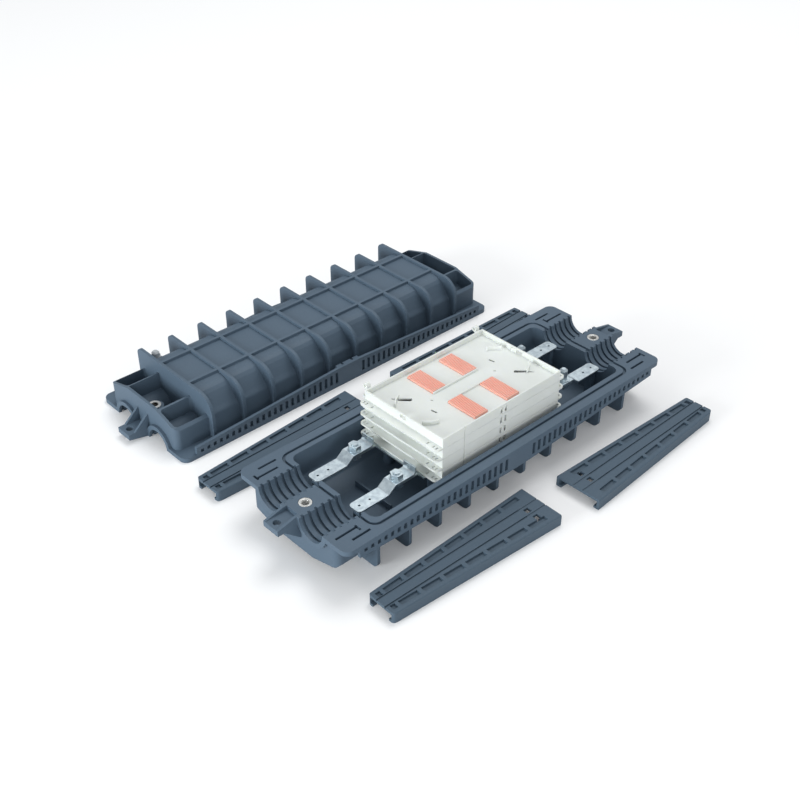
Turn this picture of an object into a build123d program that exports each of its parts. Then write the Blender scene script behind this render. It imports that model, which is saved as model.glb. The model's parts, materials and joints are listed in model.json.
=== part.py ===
"""Fibre splice closure, laid open on a bench.

The base shell carries four steel brackets, a tray carrier and a stack of four
hinged splice trays. The cover shell lies dome up behind it, and the four wedge
clamps that draw the two side rails together lie around the base.
Millimetres, +X along the closure, +Y towards the cover, +Z up. The origin is on
the ground under the middle of the whole laid-out set. The pieces are drawn from
the middle of the base shell and moved to that origin when they are written.
"""
from build123d import *
import os
from math import atan, cos, degrees, radians, sin

os.makedirs("parts", exist_ok=True)

# Shell sizes
closure_length = 512.0
closure_width = 180.0
base_height = 60.0
cover_height = 62.0
shell_wall = 3.5
flange_thickness = 6.0
flange_corner = 10.0
cavity_length = 400.0
cavity_width = 139.0
cavity_corner = 10.0

# Dome cross-section, measured from the outer height of the shell
rib_stand = 7.0
panel_flat_half = 29.3
shoulder_half = 54.0
shoulder_drop = 14.0
eave_half = 67.5
eave_drop = 30.0
dome_rounding = 7.0

# Cross fins and long ribs outside the dome
fin_count = 10
fin_pitch = 45.1
fin_thickness = 4.0
fin_half_width = 78.5
fin_corner = 24.0
fin_square_corner = 8.0
long_rib_thickness = 4.0

# Toothed side rails that the wedge clamps ride on
rail_thickness = 4.0
rail_half_length = 238.0
rail_end_height = 15.5
rail_mid_height = 27.0
rail_band = 6.5
rail_lower_band = 5.0
teeth_per_bay = 5
tooth_gap = 4.4
mid_block_half = 18.0
mid_block_depth = 8.0
mid_hole_diameter = 4.0
mid_hole_level = 9.5
mid_notch_station = 8.0
mid_notch_width = 3.0
mid_notch_depth = 2.5
gap_count = 24

# Cable ports
port_spacing = 68.0
port_radius = 18.5
port_wall = 3.0
seal_gap_count = 6
seal_gap_pitch = 9.0
seal_gap_width = 3.4
seal_gap_depth = 2.6

# Sealing groove round the cavity
groove_width = 3.6
groove_depth = 3.2
groove_inset = 6.0
groove_corner = 13.0

# End hoods over the ports
hood_length = 49.0
hood_half_width = 70.0
hood_mid_height = 47.0
hood_side_height = 37.0
hood_flat_half = 30.0
hood_corner = 8.0
hood_wall = 3.6
divider_half_spacing = 33.5
divider_thickness = 2.4

# Threaded inserts, bushes and end lugs
insert_station = 234.8
insert_diameter = 15.5
insert_bore = 8.6
insert_length = 14.0
insert_boss_wall = 3.5
insert_chamfer = 0.6
bush_diameter = 12.0
bush_bore = 9.0
bush_flange_diameter = 16.0
bush_flange = 2.0
boss_height = 28.0
lug_reach = 25.0
lug_width = 24.0
lug_gusset = 3.0
lug_plate = 7.0
lug_recess = 5.5
lug_hole_diameter = 9.0
lug_hole_inset = 8.5
lug_gusset_rise = 20.0

# Narrow slots in the outer lands
land_slot_width = 3.0
land_slot_depth = 4.0
hook_slot_length = 30.0
hook_slot_station = 234.2
hook_slot_across = 65.4
plain_slot_length = 24.6
plain_slot_station = 224.8
plain_slot_across = 77.3

# Where the cover lies beside the base
cover_offset_x = 2.8
cover_offset_y = 293.2

# Steel brackets
bracket_width = 18.0
bracket_sheet = 2.0
bracket_outer_end = 198.0
bracket_inner_end = 118.0
bracket_low_level = 50.5
bracket_high_level = 58.5
bracket_slope_outer = 156.0
bracket_slope_inner = 146.0
bracket_bend = 3.0
bracket_end_corner = 5.0
bracket_tab_height = 8.5
bracket_hole_diameter = 2.8
bracket_hole_pitch = 14.7
bracket_hole_inset = 8.0
bracket_tab_hole = 3.2
bracket_tab_hole_rise = 5.4
bolt_station = 136.5
bolt_diameter = 8.0
bolt_clearance = 0.3
nut_across_flats = 13.0
nut_height = 6.5
bolt_head_height = 6.5
bolt_end_rise = 1.8
bolt_tail = 3.0
dome_nut_depth = 10.0
dome_nut_diameter = 10.0
dome_nut_height = 15.5
post_length = 7.0
post_width = 10.0
post_station = 191.0
pad_diameter = 12.0
pad_station = 84.0
pad_station_y = 36.0
pad_pin_diameter = 5.0
floor_rib_station = 140.0
floor_rib_thickness = 2.5
floor_rib_height = 8.0

# Tray carrier, a folded steel sheet under the stack
carrier_sheet = 2.0
carrier_half_width = 46.0
carrier_window_width = 54.0
carrier_window_length = 150.0
carrier_bend = 107.0
carrier_rise_run = 7.0
ear_overhang = 7.0
tray_screw_station = 60.0
tray_screw_diameter = 3.0
tray_screw_head = 2.0

# Splice trays
tray_count = 4
tray_pitch = 13.7
tray_bottom = 48.6
tray_gap = 0.2
tray_wall = 1.8
tray_floor = 2.0
tray_plate_rise = 7.0
tray_half_width = 62.0
tray_centre_y = 0.5
tray_body_half = 95.0
tray_lip_half = 105.0
tray_lip_thickness = 2.6
tray_lip_corner = 5.0
tie_slot_length = 4.5
tie_slot_width = 1.8
tie_slot_station = 100.0
tie_slot_insets = (4.0, 8.5, 17.5)
tray_groove_station = 62.0
tray_groove_width = 2.0
latch_window_width = 10.0
latch_window_height = 8.0
latch_tongue_width = 4.0
tray_end_opening = 9.0
tray_end_opening_height = 4.5
tray_guide_height = 5.0
tray_guide_radius = 34.0
tray_guide_station = 60.0
tray_guide_wall = 1.6
tray_guide_starts = (-70.0, -10.0, 40.0)
tray_guide_span = 30.0
tray_boss_diameter = 8.0
plate_slot_length = 8.0
plate_slot_width = 2.4
plate_slot_station = 60.0
plate_slot_across = 13.0
plate_square = 5.0
plate_square_station = 45.0
plate_square_across = 5.0
plate_wedge_length = 18.0
plate_wedge_width = 4.0
plate_wedge_station = 70.0
plate_wedge_across = 28.0
well_gap = 0.3
well_wall = 1.4

# Tray hinges
hinge_station = 88.0
hinge_reach = 4.6
hinge_rise = 1.6
pin_radius = 1.5
pin_clearance = 0.06
hook_wall = 1.8
hook_width = 6.0
hook_mouth = 2.4
hook_mouth_angle = 45.0
hook_stem = 5.0
hinge_side_gap = 0.4
hinge_arm = 2.0

# Splice holders
holder_length = 42.0
holder_width = 20.0
holder_height = 8.0
holder_base = 2.0
holder_slots = 12
holder_slot_width = 2.3
holder_station_x = 25.5
holder_station_y = 33.0
holder_shift_x = -2.0

# Wedge clamps
clamp_length = 234.0
clamp_narrow = 39.0
clamp_wide = 61.0
clamp_height = 14.0
clamp_web = 3.5
clamp_side = 3.5
clamp_lip = 3.6
clamp_lip_thickness = 3.0
clamp_window_count = 7
clamp_window_length = 20.0
clamp_window_width = 3.6
clamp_window_pitch = 27.0
clamp_window_inset = 6.0
clamp_square_hole = 7.0
clamp_window_start = 16.0
clamp_edge = 2.0
clamp_square_inset = 22.0
clamp_groove_width = 1.6
clamp_groove_depth = 0.8
clamp_groove_offset = 6.5
clamp_short_window_length = 7.2
clamp_short_window_station = 198.0

# The four clamps as they lie: narrow end's place, and the way the clamp points
clamp_places = {
    "front_near": (-245.5, -128.0, -1.4),
    "front_far": (270.5, -143.7, 180.6),
    "back_near": (-264.0, 142.0, 1.0),
    "back_far": (276.0, 149.0, 182.4),
}

# Air valve on the cover
valve_station_x = -188.0
valve_station_y = 64.5
valve_seat_level = 43.5
valve_seat_diameter = 18.0
valve_seat_depth = 14.0
valve_body_diameter = 12.0
valve_body_height = 5.0
valve_stem_diameter = 8.0
valve_stem_length = 12.0
valve_cap_diameter = 10.0
valve_cap_height = 7.0

# Places that follow from the sizes above
half_length = closure_length / 2
half_width = closure_width / 2
port_half_spacing = port_spacing / 2
dome_half_length = (fin_count - 1) * fin_pitch / 2
fin_stations = [(number - (fin_count - 1) / 2) * fin_pitch for number in range(fin_count)]
tooth_pitch = fin_pitch / teeth_per_bay
gap_stations = [fin_pitch / 2 + number * tooth_pitch for number in range(gap_count)]
hood_end = dome_half_length + hood_length
skirt_depth = 20.0
cut_margin = 1.0
tray_height = tray_pitch - tray_gap
hinge_y = tray_centre_y + tray_half_width + hinge_reach
carrier_top = tray_bottom - tray_gap
ear_top = bracket_high_level - bracket_sheet
lug_end = half_length + lug_reach
lug_hole_station = lug_end - lug_hole_inset
boss_radius = insert_diameter / 2 + insert_boss_wall
port_centre_x = (cavity_length / 2 + half_length) / 2
port_run = half_length - cavity_length / 2

# The laid-out set's middle, between the front clamp's wide end and the cover's far edge
front_clamp_x, front_clamp_y, front_clamp_turn = clamp_places["front_far"]
front_reach = clamp_length * sin(radians(front_clamp_turn)) + clamp_wide / 2 * cos(radians(front_clamp_turn))
layout_front = front_clamp_y + front_reach
layout_back = cover_offset_y + half_width
layout = Location((-cover_offset_x / 2, -(layout_front + layout_back) / 2, 0))


def dome_section(height, inset):
    """Cross-section of the dome, drawn below the parting plane as well."""
    wall_slope = (cavity_width / 2 + shell_wall - eave_half) / (height - eave_drop)
    foot_half = cavity_width / 2 + shell_wall + skirt_depth * wall_slope
    right = [
        (foot_half, -skirt_depth),
        (eave_half, height - eave_drop),
        (shoulder_half, height - shoulder_drop),
        (panel_flat_half, height - rib_stand),
    ]
    left = [(-across, up) for across, up in reversed(right)]
    with BuildSketch() as section:
        with BuildLine():
            Polyline(*right, *left, close=True)
        make_face()
        fillet(section.vertices().sort_by(Axis.Y)[2:], radius=dome_rounding)
        if inset > 0:
            offset(amount=-inset)
    return section.sketch


def cavity_core(height):
    """The hollow of a shell, open below the parting plane."""
    with BuildPart() as core:
        with BuildSketch(Plane.YZ):
            add(dome_section(height, shell_wall))
        extrude(amount=cavity_length / 2, both=True)
        with BuildSketch(Plane.XY.offset(-skirt_depth)):
            RectangleRounded(cavity_length, cavity_width, cavity_corner)
        extrude(amount=height + skirt_depth, mode=Mode.INTERSECT)
    return core.part


def rail_level(station):
    """Height of the side rail at a distance from mid-length."""
    drop = (rail_mid_height - rail_end_height) / (rail_half_length - mid_block_half)
    return rail_mid_height - (station - mid_block_half) * drop


def half_shell(height):
    """One half of the closure, dome up, with its parting plane at z = 0.

    A quarter is modelled at +X and +Y and mirrored to the other three.
    """
    hollow = cavity_core(height)
    quarter = (Align.MIN, Align.MIN)
    with BuildPart() as shell:
        # Flange
        with BuildSketch():
            RectangleRounded(closure_length, closure_width, flange_corner)
            Rectangle(closure_length, closure_width, align=quarter, mode=Mode.INTERSECT)
        extrude(amount=flange_thickness)

        # Side rail with tooth gaps and a plain block at mid-length
        with BuildSketch(Plane.XZ.offset(-half_width)):
            with BuildLine():
                Polyline(
                    (0, 0),
                    (0, rail_mid_height),
                    (mid_block_half, rail_mid_height),
                    (rail_half_length, rail_end_height),
                    (rail_half_length, 0),
                    close=True,
                )
            make_face()
            for station in gap_stations:
                gap_height = rail_level(station) - rail_band - rail_lower_band
                with Locations((station, rail_band)):
                    Rectangle(
                        tooth_gap,
                        gap_height,
                        align=(Align.CENTER, Align.MIN),
                        mode=Mode.SUBTRACT,
                    )
        extrude(amount=rail_thickness)
        with BuildSketch(Plane.XZ.offset(-half_width)):
            Rectangle(mid_block_half, rail_mid_height, align=quarter)
            with Locations((0, mid_hole_level)):
                Circle(mid_hole_diameter / 2, mode=Mode.SUBTRACT)
            with Locations((mid_notch_station, rail_mid_height)):
                Rectangle(mid_notch_width, 2 * mid_notch_depth, mode=Mode.SUBTRACT)
        extrude(amount=mid_block_depth)

        # Dome, cross fins and long ribs
        with BuildSketch(Plane.YZ):
            add(dome_section(height, 0))
            Rectangle(
                closure_width,
                closure_width,
                align=(Align.MIN, Align.CENTER),
                mode=Mode.INTERSECT,
            )
        extrude(amount=dome_half_length)
        fin_planes = [Plane.YZ.offset(station) for station in fin_stations if station > 0]
        with BuildSketch(*fin_planes) as fins:
            Rectangle(fin_half_width, height, align=quarter)
            fillet(fins.vertices().sort_by(Axis.Y)[-2:].sort_by(Axis.X)[-1], radius=fin_corner)
        extrude(amount=fin_thickness / 2, both=True)
        with BuildSketch(Plane.XY.offset(height - 2 * rib_stand)):
            with Locations((0, panel_flat_half)):
                Rectangle(dome_half_length, long_rib_thickness, align=(Align.MIN, Align.CENTER))
        extrude(amount=2 * rib_stand)

        # End hood with open pockets
        with BuildSketch(Plane.YZ.offset(dome_half_length)):
            with BuildLine():
                Polyline(
                    (0, 0),
                    (0, hood_mid_height),
                    (hood_flat_half, hood_mid_height),
                    (hood_half_width - shell_wall, hood_side_height),
                    (hood_half_width, hood_side_height - shell_wall),
                    (hood_half_width, 0),
                    close=True,
                )
            make_face()
        extrude(amount=hood_length)
        outer_corner = shell.edges().filter_by(Axis.Z).filter_by_position(
            Axis.X, hood_end - cut_margin, hood_end + cut_margin
        ).sort_by(Axis.Y)[-1]
        fillet(outer_corner, radius=hood_corner)
        pocket_start = dome_half_length + fin_thickness / 2
        pocket_run = hood_end - hood_wall - pocket_start
        side_inner = divider_half_spacing + divider_thickness / 2
        side_outer = hood_half_width - hood_wall
        with BuildSketch(Plane.XY.offset(flange_thickness)):
            with Locations((pocket_start, 0)):
                Rectangle(pocket_run, divider_half_spacing - divider_thickness / 2, align=quarter)
            with Locations((pocket_start + pocket_run / 2, (side_inner + side_outer) / 2)):
                RectangleRounded(pocket_run, side_outer - side_inner, hood_corner - hood_wall)
        extrude(amount=height, mode=Mode.SUBTRACT)
        with Locations((insert_station, 0, 0)):
            Cylinder(boss_radius, boss_height, align=(Align.CENTER, Align.CENTER, Align.MIN))

        # Lug with a hole beside a gusset
        with BuildSketch(Plane.XY.offset(lug_recess)):
            with Locations((hood_end, 0)):
                Rectangle(lug_end - hood_end, lug_width / 2, align=quarter)
        extrude(amount=lug_plate)
        lug_back = hood_end - hood_wall / 2
        with BuildSketch(Plane.XZ.offset(-lug_width / 2)):
            with BuildLine():
                Polyline(
                    (lug_back, 0),
                    (half_length, 0),
                    (lug_end, lug_recess),
                    (lug_end, lug_recess + lug_plate),
                    (lug_hole_station, lug_recess + lug_plate),
                    (lug_back, lug_recess + lug_plate + lug_gusset_rise),
                    close=True,
                )
            make_face()
        extrude(amount=lug_gusset)
        with BuildSketch():
            with Locations((hood_end, 0)):
                Rectangle(half_length - hood_end, lug_width / 2 - lug_gusset, align=quarter)
        extrude(amount=lug_recess, mode=Mode.SUBTRACT)
        with Locations((lug_hole_station, 0, lug_recess)):
            Hole(lug_hole_diameter / 2)

        # Half-round cable port with sealing gaps inside
        port_axis = Axis((0, port_half_spacing, 0), (1, 0, 0))
        outwards = (Align.CENTER, Align.MIN)
        with BuildSketch():
            with Locations((port_centre_x, port_half_spacing)):
                Rectangle(port_run, port_radius + seal_gap_depth + port_wall, align=outwards)
        revolve(axis=port_axis, revolution_arc=180)
        with BuildSketch():
            with Locations((port_centre_x, port_half_spacing)):
                Rectangle(port_run + 2 * cut_margin, port_radius, align=outwards)
                with GridLocations(seal_gap_pitch, 0, seal_gap_count, 1):
                    Rectangle(seal_gap_width, port_radius + seal_gap_depth, align=outwards)
        revolve(axis=port_axis, mode=Mode.SUBTRACT)

        # Hollow, parting plane and sealing groove
        add(hollow, mode=Mode.SUBTRACT)
        split(bisect_by=Plane.XY)
        with BuildSketch():
            RectangleRounded(
                cavity_length + 2 * groove_inset + 2 * groove_width,
                cavity_width + 2 * groove_inset + 2 * groove_width,
                groove_corner,
            )
            RectangleRounded(
                cavity_length + 2 * groove_inset,
                cavity_width + 2 * groove_inset,
                groove_corner - groove_width,
                mode=Mode.SUBTRACT,
            )
        extrude(amount=groove_depth, mode=Mode.SUBTRACT)

        # The other three quarters
        mirror(about=Plane.XZ)
        mirror(about=Plane.YZ)

        # Squarer fin corners along one side
        with BuildSketch(*[Plane.YZ.offset(station) for station in fin_stations]) as fin_ears:
            with BuildLine():
                Polyline(
                    (fin_half_width - fin_corner, height),
                    (fin_half_width, height),
                    (fin_half_width, height - fin_corner),
                    close=True,
                )
            make_face()
            ear_tip = fin_ears.vertices().sort_by(Axis.Y)[-2:].sort_by(Axis.X)[-1]
            fillet(ear_tip, radius=fin_square_corner)
        extrude(amount=fin_thickness / 2, both=True)
    return shell.part


# Base shell, turned over so that its parting plane faces up
with BuildPart() as base_shell:
    add(half_shell(base_height))
    post_top = base_height - bracket_low_level + bracket_sheet
    pad_top = base_height - carrier_top + carrier_sheet
    floor_level = base_height - rib_stand - shell_wall
    with BuildSketch(Plane.XY.offset(post_top)):
        with GridLocations(2 * post_station, port_spacing, 2, 2):
            Rectangle(post_length, post_width)
    extrude(amount=floor_level - post_top + shell_wall / 2)
    with BuildSketch(Plane.XY.offset(pad_top)):
        with GridLocations(2 * pad_station, 2 * pad_station_y, 2, 2):
            Circle(pad_diameter / 2)
    extrude(amount=floor_level - pad_top + shell_wall / 2)
    with BuildSketch(Plane.XY.offset(base_height - carrier_top)):
        with GridLocations(2 * pad_station, 2 * pad_station_y, 2, 2):
            Circle(pad_pin_diameter / 2)
    extrude(amount=carrier_sheet)
    with BuildSketch(Plane.XY.offset(floor_level - floor_rib_height)):
        with GridLocations(2 * floor_rib_station, 0, 2, 1):
            Rectangle(floor_rib_thickness, 2 * panel_flat_half)
    extrude(amount=floor_rib_height + shell_wall / 2)
    with Locations((-insert_station, 0, 0), (insert_station, 0, 0)):
        Cylinder(
            insert_diameter / 2,
            insert_length,
            align=(Align.CENTER, Align.CENTER, Align.MIN),
            mode=Mode.SUBTRACT,
        )
    with BuildSketch():
        for end in (-1, 1):
            for side in (-1, 1):
                with Locations((end * hook_slot_station, side * hook_slot_across)):
                    Rectangle(hook_slot_length, land_slot_width)
                hook_x = end * hook_slot_station + side * (hook_slot_length - land_slot_width) / 2
                with Locations((hook_x, side * (hook_slot_across + land_slot_width / 2))):
                    Rectangle(land_slot_width, 3 * land_slot_width)
                with Locations((end * plain_slot_station, side * plain_slot_across)):
                    Rectangle(plain_slot_length, land_slot_width)
    extrude(amount=land_slot_depth, mode=Mode.SUBTRACT)
base_place = Location((0, 0, base_height), (180, 0, 0))
base_part = layout * base_place * base_shell.part
base_part.label = "base_shell"
export_step(base_part, "parts/base_shell.step")

# Threaded inserts in the base
for end, where in ((-1, "near"), (1, "far")):
    with BuildPart() as insert:
        with BuildSketch(Plane.XY.offset(base_height)):
            with Locations((end * insert_station, 0)):
                Circle(insert_diameter / 2)
                Circle(insert_bore / 2, mode=Mode.SUBTRACT)
        extrude(amount=-insert_length)
        chamfer(insert.faces().sort_by(Axis.Z)[-1].edges(), insert_chamfer)
    insert_part = layout * insert.part
    insert_part.label = "base_insert_" + where
    export_step(insert_part, "parts/base_insert_" + where + ".step")

# Cover shell with sleeve holes and the valve seat
cover_place = Location((cover_offset_x, cover_offset_y, 0))
with BuildPart() as cover_shell:
    add(half_shell(cover_height))
    with Locations((-insert_station, 0, 0), (insert_station, 0, 0)):
        Cylinder(
            bush_diameter / 2,
            boss_height + cut_margin,
            align=(Align.CENTER, Align.CENTER, Align.MIN),
            mode=Mode.SUBTRACT,
        )
    with Locations((valve_station_x, valve_station_y, valve_seat_level)):
        Cylinder(
            valve_seat_diameter / 2,
            valve_seat_depth,
            align=(Align.CENTER, Align.CENTER, Align.MAX),
        )
        Cylinder(
            valve_stem_diameter / 2 + bolt_clearance,
            2 * valve_seat_depth,
            mode=Mode.SUBTRACT,
        )
cover_part = layout * cover_place * cover_shell.part
cover_part.label = "cover_shell"
export_step(cover_part, "parts/cover_shell.step")

# Steel sleeves through the cover's end bosses
for end, where in ((-1, "near"), (1, "far")):
    with BuildPart() as bush:
        with BuildSketch():
            with Locations((end * insert_station, 0)):
                Circle(bush_diameter / 2)
                Circle(bush_bore / 2, mode=Mode.SUBTRACT)
        extrude(amount=boss_height)
        with BuildSketch(Plane.XY.offset(boss_height)):
            with Locations((end * insert_station, 0)):
                Circle(bush_flange_diameter / 2)
                Circle(bush_bore / 2, mode=Mode.SUBTRACT)
        extrude(amount=bush_flange)
    bush_part = layout * cover_place * bush.part
    bush_part.label = "cover_bush_" + where
    export_step(bush_part, "parts/cover_bush_" + where + ".step")

# Air valve and its dust cap
with BuildPart() as valve_body:
    with BuildSketch(Plane.XY.offset(valve_seat_level)):
        with Locations((valve_station_x, valve_station_y)):
            RegularPolygon(valve_body_diameter / 2, 6, major_radius=False)
    extrude(amount=valve_body_height)
    with BuildSketch(Plane.XY.offset(valve_seat_level - valve_stem_length)):
        with Locations((valve_station_x, valve_station_y)):
            Circle(valve_stem_diameter / 2)
    extrude(amount=valve_stem_length)
valve_part = layout * cover_place * valve_body.part
valve_part.label = "air_valve_body"
export_step(valve_part, "parts/air_valve_body.step")

with BuildPart() as valve_cap:
    with BuildSketch(Plane.XY.offset(valve_seat_level + valve_body_height)):
        with Locations((valve_station_x, valve_station_y)):
            Circle(valve_cap_diameter / 2)
    extrude(amount=valve_cap_height)
    chamfer(valve_cap.edges().group_by(Axis.Z)[-1], valve_cap_diameter / 5)
cap_part = layout * cover_place * valve_cap.part
cap_part.label = "air_valve_cap"
export_step(cap_part, "parts/air_valve_cap.step")


def wedge_clamp():
    """One tapered clamp rail, web up, with its narrow end at x = 0."""
    taper = (clamp_wide - clamp_narrow) / 2 / clamp_length

    def half_at(station):
        return clamp_narrow / 2 + taper * station

    def outline(inset, start, end):
        return [
            (start, half_at(start) - inset),
            (end, half_at(end) - inset),
            (end, inset - half_at(end)),
            (start, inset - half_at(start)),
        ]

    with BuildPart() as clamp:
        with BuildSketch():
            with BuildLine():
                Polyline(*outline(0, 0, clamp_length), close=True)
            make_face()
        extrude(amount=clamp_height)
        fillet(clamp.edges().group_by(Axis.Z)[-1].filter_by(Axis.Y, reverse=True), radius=clamp_edge)
        with BuildSketch(Plane.XY.offset(clamp_lip_thickness)):
            with BuildLine():
                Polyline(*outline(clamp_side, -cut_margin, clamp_length + cut_margin), close=True)
            make_face()
        extrude(amount=clamp_height - clamp_web - clamp_lip_thickness, mode=Mode.SUBTRACT)
        with BuildSketch():
            with BuildLine():
                Polyline(
                    *outline(clamp_side + clamp_lip, -cut_margin, clamp_length + cut_margin),
                    close=True,
                )
            make_face()
        extrude(amount=clamp_lip_thickness, mode=Mode.SUBTRACT)

        # Window rows along both edges, square holes near the wide end
        slant = degrees(atan(taper))
        with BuildSketch(Plane.XY.offset(clamp_height - clamp_web)):
            for side in (-1, 1):
                for number in range(clamp_window_count):
                    station = clamp_window_start + number * clamp_window_pitch
                    across = side * (half_at(station) - clamp_window_inset)
                    with Locations(Location((station, across), (0, 0, side * slant))):
                        Rectangle(clamp_window_length, clamp_window_width)
                across = side * (half_at(clamp_short_window_station) - clamp_window_inset)
                with Locations(Location((clamp_short_window_station, across), (0, 0, side * slant))):
                    Rectangle(clamp_short_window_length, clamp_window_width)
            with Locations(
                (clamp_length - clamp_square_inset, 0),
                (clamp_length - clamp_square_inset, -2 * clamp_square_hole),
            ):
                Rectangle(clamp_square_hole, clamp_square_hole)
        extrude(amount=clamp_web, mode=Mode.SUBTRACT)

        # Two long shallow grooves along the middle of the web
        with BuildSketch(Plane.XY.offset(clamp_height)):
            with Locations((clamp_length / 2, 0)):
                with GridLocations(0, 2 * clamp_groove_offset, 1, 2):
                    Rectangle(clamp_length, clamp_groove_width)
        extrude(amount=-clamp_groove_depth, mode=Mode.SUBTRACT)
    return clamp.part


clamp_solid = wedge_clamp()
for where, (place_x, place_y, turn) in clamp_places.items():
    clamp_part = layout * Location((place_x, place_y, 0), (0, 0, turn)) * clamp_solid
    clamp_part.label = "wedge_clamp_" + where
    export_step(clamp_part, "parts/wedge_clamp_" + where + ".step")


def cable_bracket(end, side):
    """Sheet steel strip from a cable port to the tray carrier."""
    across = side * port_half_spacing
    bend_low = (end * bracket_slope_outer, bracket_low_level)
    bend_high = (end * bracket_slope_inner, bracket_high_level)
    with BuildPart() as bracket:
        with BuildSketch(Plane.XZ.offset(-across)):
            with BuildLine() as strip:
                FilletPolyline(
                    (end * bracket_outer_end, bracket_low_level),
                    bend_low,
                    bend_high,
                    (end * bracket_inner_end, bracket_high_level),
                    (end * bracket_inner_end, bracket_high_level + bracket_tab_height),
                    radius=bracket_bend,
                )
                offset(amount=bracket_sheet, side=Side.LEFT if end > 0 else Side.RIGHT)
            make_face()
        extrude(amount=bracket_width / 2, both=True)
        outwards = Axis((0, 0, 0), (end, 0, 0))
        fillet(bracket.edges().filter_by(Axis.Z).sort_by(outwards)[-2:], radius=bracket_end_corner)
        with Locations((end * bolt_station, across, bracket_high_level)):
            Hole(bolt_diameter / 2 + bolt_clearance)
        hole_station = bracket_outer_end - bracket_hole_inset
        with Locations(
            (end * hole_station, across, bracket_low_level),
            (end * (hole_station - bracket_hole_pitch), across, bracket_low_level),
        ):
            Hole(bracket_hole_diameter / 2)
        with BuildSketch(Plane.YZ.offset(end * bracket_inner_end)):
            with Locations((across, bracket_high_level + bracket_tab_hole_rise)):
                Circle(bracket_tab_hole / 2)
        extrude(amount=bracket_sheet, both=True, mode=Mode.SUBTRACT)
    return bracket.part


bracket_names = {
    (-1, -1): "near_front",
    (-1, 1): "near_back",
    (1, -1): "far_front",
    (1, 1): "far_back",
}
for (end, side), where in bracket_names.items():
    bracket_part = layout * cable_bracket(end, side)
    bracket_part.label = "cable_bracket_" + where
    export_step(bracket_part, "parts/cable_bracket_" + where + ".step")


# Bolts and nuts that join the brackets to the carrier
def hexagon_prism(level, height, end, side):
    """Hexagonal bolt head or nut standing on a level."""
    with BuildPart() as prism:
        with BuildSketch(Plane.XY.offset(level)):
            with Locations((end * bolt_station, side * port_half_spacing)):
                RegularPolygon(nut_across_flats / 2, 6, major_radius=False)
        extrude(amount=height)
    return prism.part


for (end, side), where in bracket_names.items():
    bolt_place = (end * bolt_station, side * port_half_spacing)
    nut_level = ear_top - carrier_sheet - nut_height
    with BuildPart() as bolt:
        if end < 0:
            add(hexagon_prism(bracket_high_level, bolt_head_height, end, side))
            with BuildSketch(Plane.XY.offset(nut_level - bolt_tail)):
                with Locations(bolt_place):
                    Circle(bolt_diameter / 2)
            extrude(amount=bracket_high_level + bolt_head_height + bolt_end_rise - nut_level + bolt_tail)
        else:
            add(hexagon_prism(nut_level, nut_height, end, side))
            with BuildSketch(Plane.XY.offset(nut_level)):
                with Locations(bolt_place):
                    Circle(bolt_diameter / 2)
            extrude(amount=bracket_high_level + dome_nut_depth - nut_level)
    bolt_part = layout * bolt.part
    bolt_part.label = "bracket_bolt_" + where
    export_step(bolt_part, "parts/bracket_bolt_" + where + ".step")

    with BuildPart() as nut:
        if end < 0:
            add(hexagon_prism(nut_level, nut_height, end, side))
            with BuildSketch(Plane.XY.offset(nut_level)):
                with Locations(bolt_place):
                    Circle(bolt_diameter / 2 + pin_clearance)
            extrude(amount=nut_height, mode=Mode.SUBTRACT)
        else:
            with BuildSketch(Plane.XY.offset(bracket_high_level)):
                with Locations(bolt_place):
                    Circle(dome_nut_diameter / 2)
            extrude(amount=dome_nut_height)
            chamfer(nut.edges().group_by(Axis.Z)[-1], dome_nut_diameter / 4)
            with BuildSketch(Plane.XY.offset(bracket_high_level)):
                with Locations(bolt_place):
                    Circle(bolt_diameter / 2 + pin_clearance)
            extrude(amount=dome_nut_depth + pin_clearance, mode=Mode.SUBTRACT)
    nut_part = layout * nut.part
    nut_part.label = "bracket_nut_" + where
    export_step(nut_part, "parts/bracket_nut_" + where + ".step")

# Tray carrier: a windowed sheet with four ears folded up to the brackets
with BuildPart() as carrier:
    with BuildSketch(Plane.XY.offset(carrier_top - carrier_sheet)):
        Rectangle(2 * carrier_bend, 2 * carrier_half_width)
        Rectangle(carrier_window_length, carrier_window_width, mode=Mode.SUBTRACT)
        with GridLocations(2 * pad_station, 2 * pad_station_y, 2, 2):
            Circle(pad_pin_diameter / 2 + bolt_clearance / 2, mode=Mode.SUBTRACT)
    extrude(amount=carrier_sheet)
    for side in (-1, 1):
        with BuildSketch(Plane.XZ.offset(-side * port_half_spacing)):
            with BuildLine():
                Polyline(
                    (carrier_bend, carrier_top - carrier_sheet),
                    (carrier_bend + carrier_rise_run, ear_top - carrier_sheet),
                    (bolt_station + ear_overhang, ear_top - carrier_sheet),
                    (bolt_station + ear_overhang, ear_top),
                    (carrier_bend + carrier_rise_run, ear_top),
                    (carrier_bend, carrier_top),
                    close=True,
                )
            make_face()
        extrude(amount=bracket_width / 2, both=True)
    with Locations(
        (bolt_station, port_half_spacing, ear_top),
        (bolt_station, -port_half_spacing, ear_top),
    ):
        Hole(bolt_diameter / 2 + bolt_clearance)
    split(bisect_by=Plane.YZ)
    mirror(about=Plane.YZ)
    with BuildSketch(Plane.XY.offset(carrier_top)):
        with GridLocations(2 * tray_screw_station, 2 * pad_station_y, 2, 2):
            Circle(tray_screw_diameter / 2 + pin_clearance)
    extrude(amount=-carrier_sheet, mode=Mode.SUBTRACT)
carrier_part = layout * carrier.part
carrier_part.label = "tray_carrier"
export_step(carrier_part, "parts/tray_carrier.step")


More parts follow.
